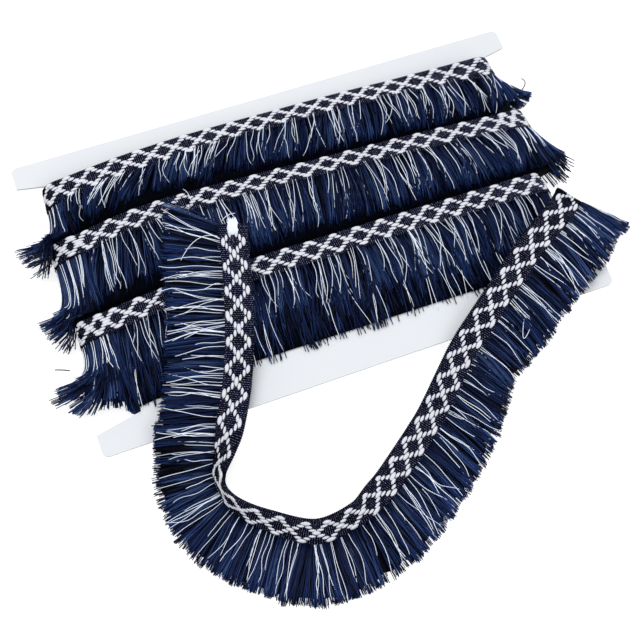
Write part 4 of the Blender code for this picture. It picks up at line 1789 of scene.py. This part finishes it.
TAIL_ROUTE = (                  # (x, y, seat, tilt, tips, lean)
    (105.6, -21.0, 8.5, 0, 7.5, -8), (103.4, -22.6, 15.5, 0, 9.5, -8),
    (99.2, -25.6, 19.8, 0, 11.5, -8), (92.5, -30.3, 20.5, 0, 12.2, -6),
    (77.0, -39.2, 19.6, 0, 13.4, 2), (60.3, -50.9, 16.8, 0, 9.0, 6),
    (44.2, -62.5, 13.6, 0, 2.5, -4), (36.7, -68.1, 12.2, 0, 0.0, -4),
    (30.4, -74.0, 8.6, 0, 0.0, -2), (17.4, -86.5, 2.8, 0, 0.0, 10),
    (9.8, -92.5, 0.6, 0, 0.0, 12), (3.8, -96.9, 0.0, 0, 0.0, 12),
    (-7.0, -104.4, 0.0, 0, 0.0, 10), (-14.6, -108.8, 0.0, 18, 0.0, 10),
    (-25.2, -113.6, 0.0, 42, 0.0, 6), (-42.2, -114.5, 0.0, 42, 0.0, 0),
    (-58.3, -104.2, 0.0, 56, 0.0, 0), (-67.2, -95.0, 0.0, 72, 0.0, 0),
    (-70.3, -87.0, 0.3, 80, 0.0, -4), (-69.3, -80.0, 2.6, 66, 4.5, -14),
    (-64.6, -73.2, 9.4, 40, 13.0, -20), (-60.0, -66.5, 12.8, 16, 13.0, -14),
    (-51.8, -51.5, 14.6, 2, 13.0, -4), (-45.0, -34.3, 19.2, 0, 19.9, 0),
    (-39.3, -15.8, 20.2, 0, 20.0, 4), (-36.0, -3.0, 20.2, 0, 20.0, 12),
    (-32.6, 8.4, 19.8, 0, 20.2, 26),
)
# (share of the yarns, share of the length that they fill)
TAIL_CROWDING = ((0.0, 0.0), (0.30, 0.38), (0.42, 0.52), (0.80, 0.74), (1.0, 1.0))
# (distance along, how far the chain has crept from even pitches)
TAIL_DRIFT = ((0.0, 0.0), (85.0, 0.0), (190.0, -4.4), (225.0, -4.2), (262.0, 0.0), (336.0, 0.4))
TAIL_THREADS = ((0.0, 6.0), (60.0, 4.5), (110.0, 4.5), (150.0, 4.0), (200.0, 5.0), (250.0, 5.0),
                (275.0, 8.0), (320.0, 6.0))

WHITE_STRAYS = (
    Stray(((95.8, -46.5, 7.0), (100.9, -50.1, 10.0), (106.8, -50.7, 8.0)), 0.8),
    Stray(((63.6, -65.0, 14.5), (61.0, -71.7, 12.5), (64.5, -69.4, 13.5)), 0.8),
    Stray(((-56.9, -1.5, 23.0), (-48.2, 4.6, 23.4), (-40.4, 3.4, 23.0)), 0.9),
    Stray(((-36.6, 9.3, 22.3), (-33.6, 10.7, 22.6), (-30.6, 10.8, 22.0)), 0.9),
    Stray(((-46.3, 27.3, 21.0), (-45.2, 24.0, 22.0), (-45.0, 19.6, 21.0)), 0.7),
)
NAVY_STRAYS = (
    Stray(((103.5, 30.0, 8.0), (108.8, 32.8, 10.0), (108.4, 36.0, 10.5)), 0.15, 0.28),
    Stray(((-109.3, -25.4, 8.8), (-111.8, -24.3, 9.0), (-114.6, -23.3, 9.0)), 0.1, 0.28),
    Stray(((-47.4, 27.6, 21.0), (-46.0, 23.6, 22.0), (-46.3, 18.8, 21.0)), 0.2),
)

# Besides a random spread, the dark end of these tones is painted shade for yarns under others, and the
# light end a painted sheen.
NAVY_TONES = ((0.0, (0.0008, 0.0011, 0.0035, 1.0)), (0.25, (0.0030, 0.0060, 0.024, 1.0)),
              (0.5, (0.0085, 0.0215, 0.094, 1.0)), (0.75, (0.020, 0.050, 0.185, 1.0)),
              (1.0, (0.070, 0.125, 0.300, 1.0)))
WHITE_TONES = ((0.0, (0.56, 0.64, 0.92, 1.0)), (0.35, (0.80, 0.87, 1.0, 1.0)),
               (1.0, (0.92, 0.95, 1.0, 1.0)))


@dataclass(frozen=True)
class Finishes:
    """Every material of the trim, made once."""

    navy: bpy.types.Material
    white: bpy.types.Material
    mass: bpy.types.Material
    braid: bpy.types.Material
    floats: bpy.types.Material
    board: bpy.types.Material
    floor: bpy.types.Material


def make_finishes() -> Finishes:
    """Make every material.

    Returns:
        The materials.
    """
    return Finishes(
        # The navy's root_shade is painted shade at the roots, and its negative tip_shade a painted
        # highlight at the tips.
        navy=YarnFinish("navy_yarn", NAVY_TONES, root_shade=0.6, tip_shade=-0.35, roughness=0.5,
                        gloss=0.12).build(),
        # The white threads' glow is a painted glow, and their root_shade painted shade at the roots.
        white=YarnFinish("white_thread", WHITE_TONES, root_shade=0.2, tip_shade=0.0, roughness=0.65,
                         gloss=0.25, twists=26.0, glow=0.32).build(),
        # The inner yarn is the navy darkened to near black by painted shade.
        mass=MassFinish("inner_yarn", dark=(0.0006, 0.0008, 0.0025, 1.0), light=(0.0025, 0.005, 0.018, 1.0),
                        yarns=800.0).build(),
        # The braid's ground colour is the dark navy darkened by painted shade in the grooves.
        braid=BraidFinish("woven_ground", ground=(0.0006, 0.0007, 0.0020, 1.0),
                          rib=(0.024, 0.026, 0.078, 1.0), fleck=(0.40, 0.43, 0.58, 1.0),
                          rib_pitch=RIB_PITCH, warp_pitch=1.0).build(),
        floats=FloatFinish("white_float", white=(0.90, 0.91, 0.97, 1.0),
                           shade=(0.50, 0.52, 0.66, 1.0)).build(),
        board=BoardFinish("white_board", face=(0.85, 0.875, 0.91, 1.0), mottle=(0.82, 0.845, 0.885, 1.0),
                          edge=(0.50, 0.50, 0.53, 1.0)).build(),
        floor=FloorFinish("pale_floor", (0.62, 0.62, 0.62, 1.0), glow=0.72).build(),
    )


def fit(piece: bpy.types.Object, slot: str, *nodes: str) -> bpy.types.Object:
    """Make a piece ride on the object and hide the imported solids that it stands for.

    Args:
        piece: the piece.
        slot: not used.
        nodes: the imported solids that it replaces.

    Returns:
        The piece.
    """
    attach(piece, "root")
    if nodes:
        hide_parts(*nodes)
    log.info("%s: %d faces", piece.name, len(piece.data.polygons))
    return piece


INNER_TURNS = 0.94              # a turn's mean length, as a share of the outermost one's


def build_row(row: WoundRow, chain: DiamondChain, finishes: Finishes) -> None:
    """Build one wound row.

    Args:
        row: the row.
        chain: the diamond chain that it carries.
        finishes: the materials.
    """
    name = row.name
    braid = fit(row.braid_band().skin(name + "_braid", finishes.braid), "heading", name + "_heading")
    spots = chain.places(row.start + 2.0, row.start + row.winding.round - 2.0, row.phase, row.pitch)
    diamonds = chain.build(name + "_diamonds", spots, row.frame_at, finishes.floats, row.seed)
    fit(diamonds, "heading")
    weft = fit(row.weft().skin(name + "_weft", finishes.navy), "fringe", name + "_fringe")
    under = fit(row.under_turns(finishes.mass), "fringe")
    threads = fit(row.white().skin(name + "_threads", finishes.white), "fringe")
    length = row.turns * row.winding.round * INNER_TURNS
    length * MM


def gathered(strays: tuple[Stray, ...]) -> Yarns:
    """Gather strays.

    Args:
        strays: the strays.

    Returns:
        The yarns of one piece.
    """
    yarns = Yarns()
    for stray in strays:
        stray.add_to(yarns)
    return yarns


def build_tail(tail: Tail, chain: DiamondChain, finishes: Finishes) -> None:
    """Build the tail.

    Args:
        tail: the tail.
        chain: the diamond chain that it carries.
        finishes: the materials.
    """
    braid = fit(tail.braid_band().skin("tail_braid", finishes.braid), "heading", "tail_heading")
    spots = chain.places(1.5, tail.total - 3.0, tail.phase, tail.pitch)
    spots[:, 0] += read_table(TAIL_DRIFT, spots[:, 0])
    diamonds = chain.build("tail_diamonds", spots, tail.frame_at, finishes.floats, tail.seed)
    fit(diamonds, "heading")
    weft = fit(tail.weft().skin("tail_weft", finishes.navy), "fringe", "tail_fringe")
    under = fit(tail.under_yarns().skin("tail_under_yarns", finishes.mass), "fringe")
    threads = fit(tail.white().skin("tail_threads", finishes.white), "fringe")
    tuft = fit(tail.tuft().skin("tail_tuft", finishes.white), "heading")
    stray_threads = fit(gathered(WHITE_STRAYS).skin("stray_threads", finishes.white), "fringe")
    stray_yarns = fit(gathered(NAVY_STRAYS).skin("stray_yarns", finishes.navy), "fringe")


def dress_card(finish: bpy.types.Material) -> None:
    """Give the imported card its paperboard.

    Args:
        finish: the paperboard.
    """
    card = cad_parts["card"]
    for slot in card.material_slots:
        slot.material = finish


def main() -> None:
    """Build the card, the three rows, the tail and the stage, in that order."""
    logging.basicConfig(level=logging.INFO, format="%(name)s %(message)s")
    finishes = make_finishes()
    dress_card(finishes.board)
    chain = DiamondChain()
    for row in ROWS:
        build_row(row, chain, finishes)
    build_tail(Tail(TAIL_ROUTE, TAIL_THREADS, phase=0.9), chain, finishes)
    Stage().build(finishes.floor)


if __name__ == "__main__":
    main()
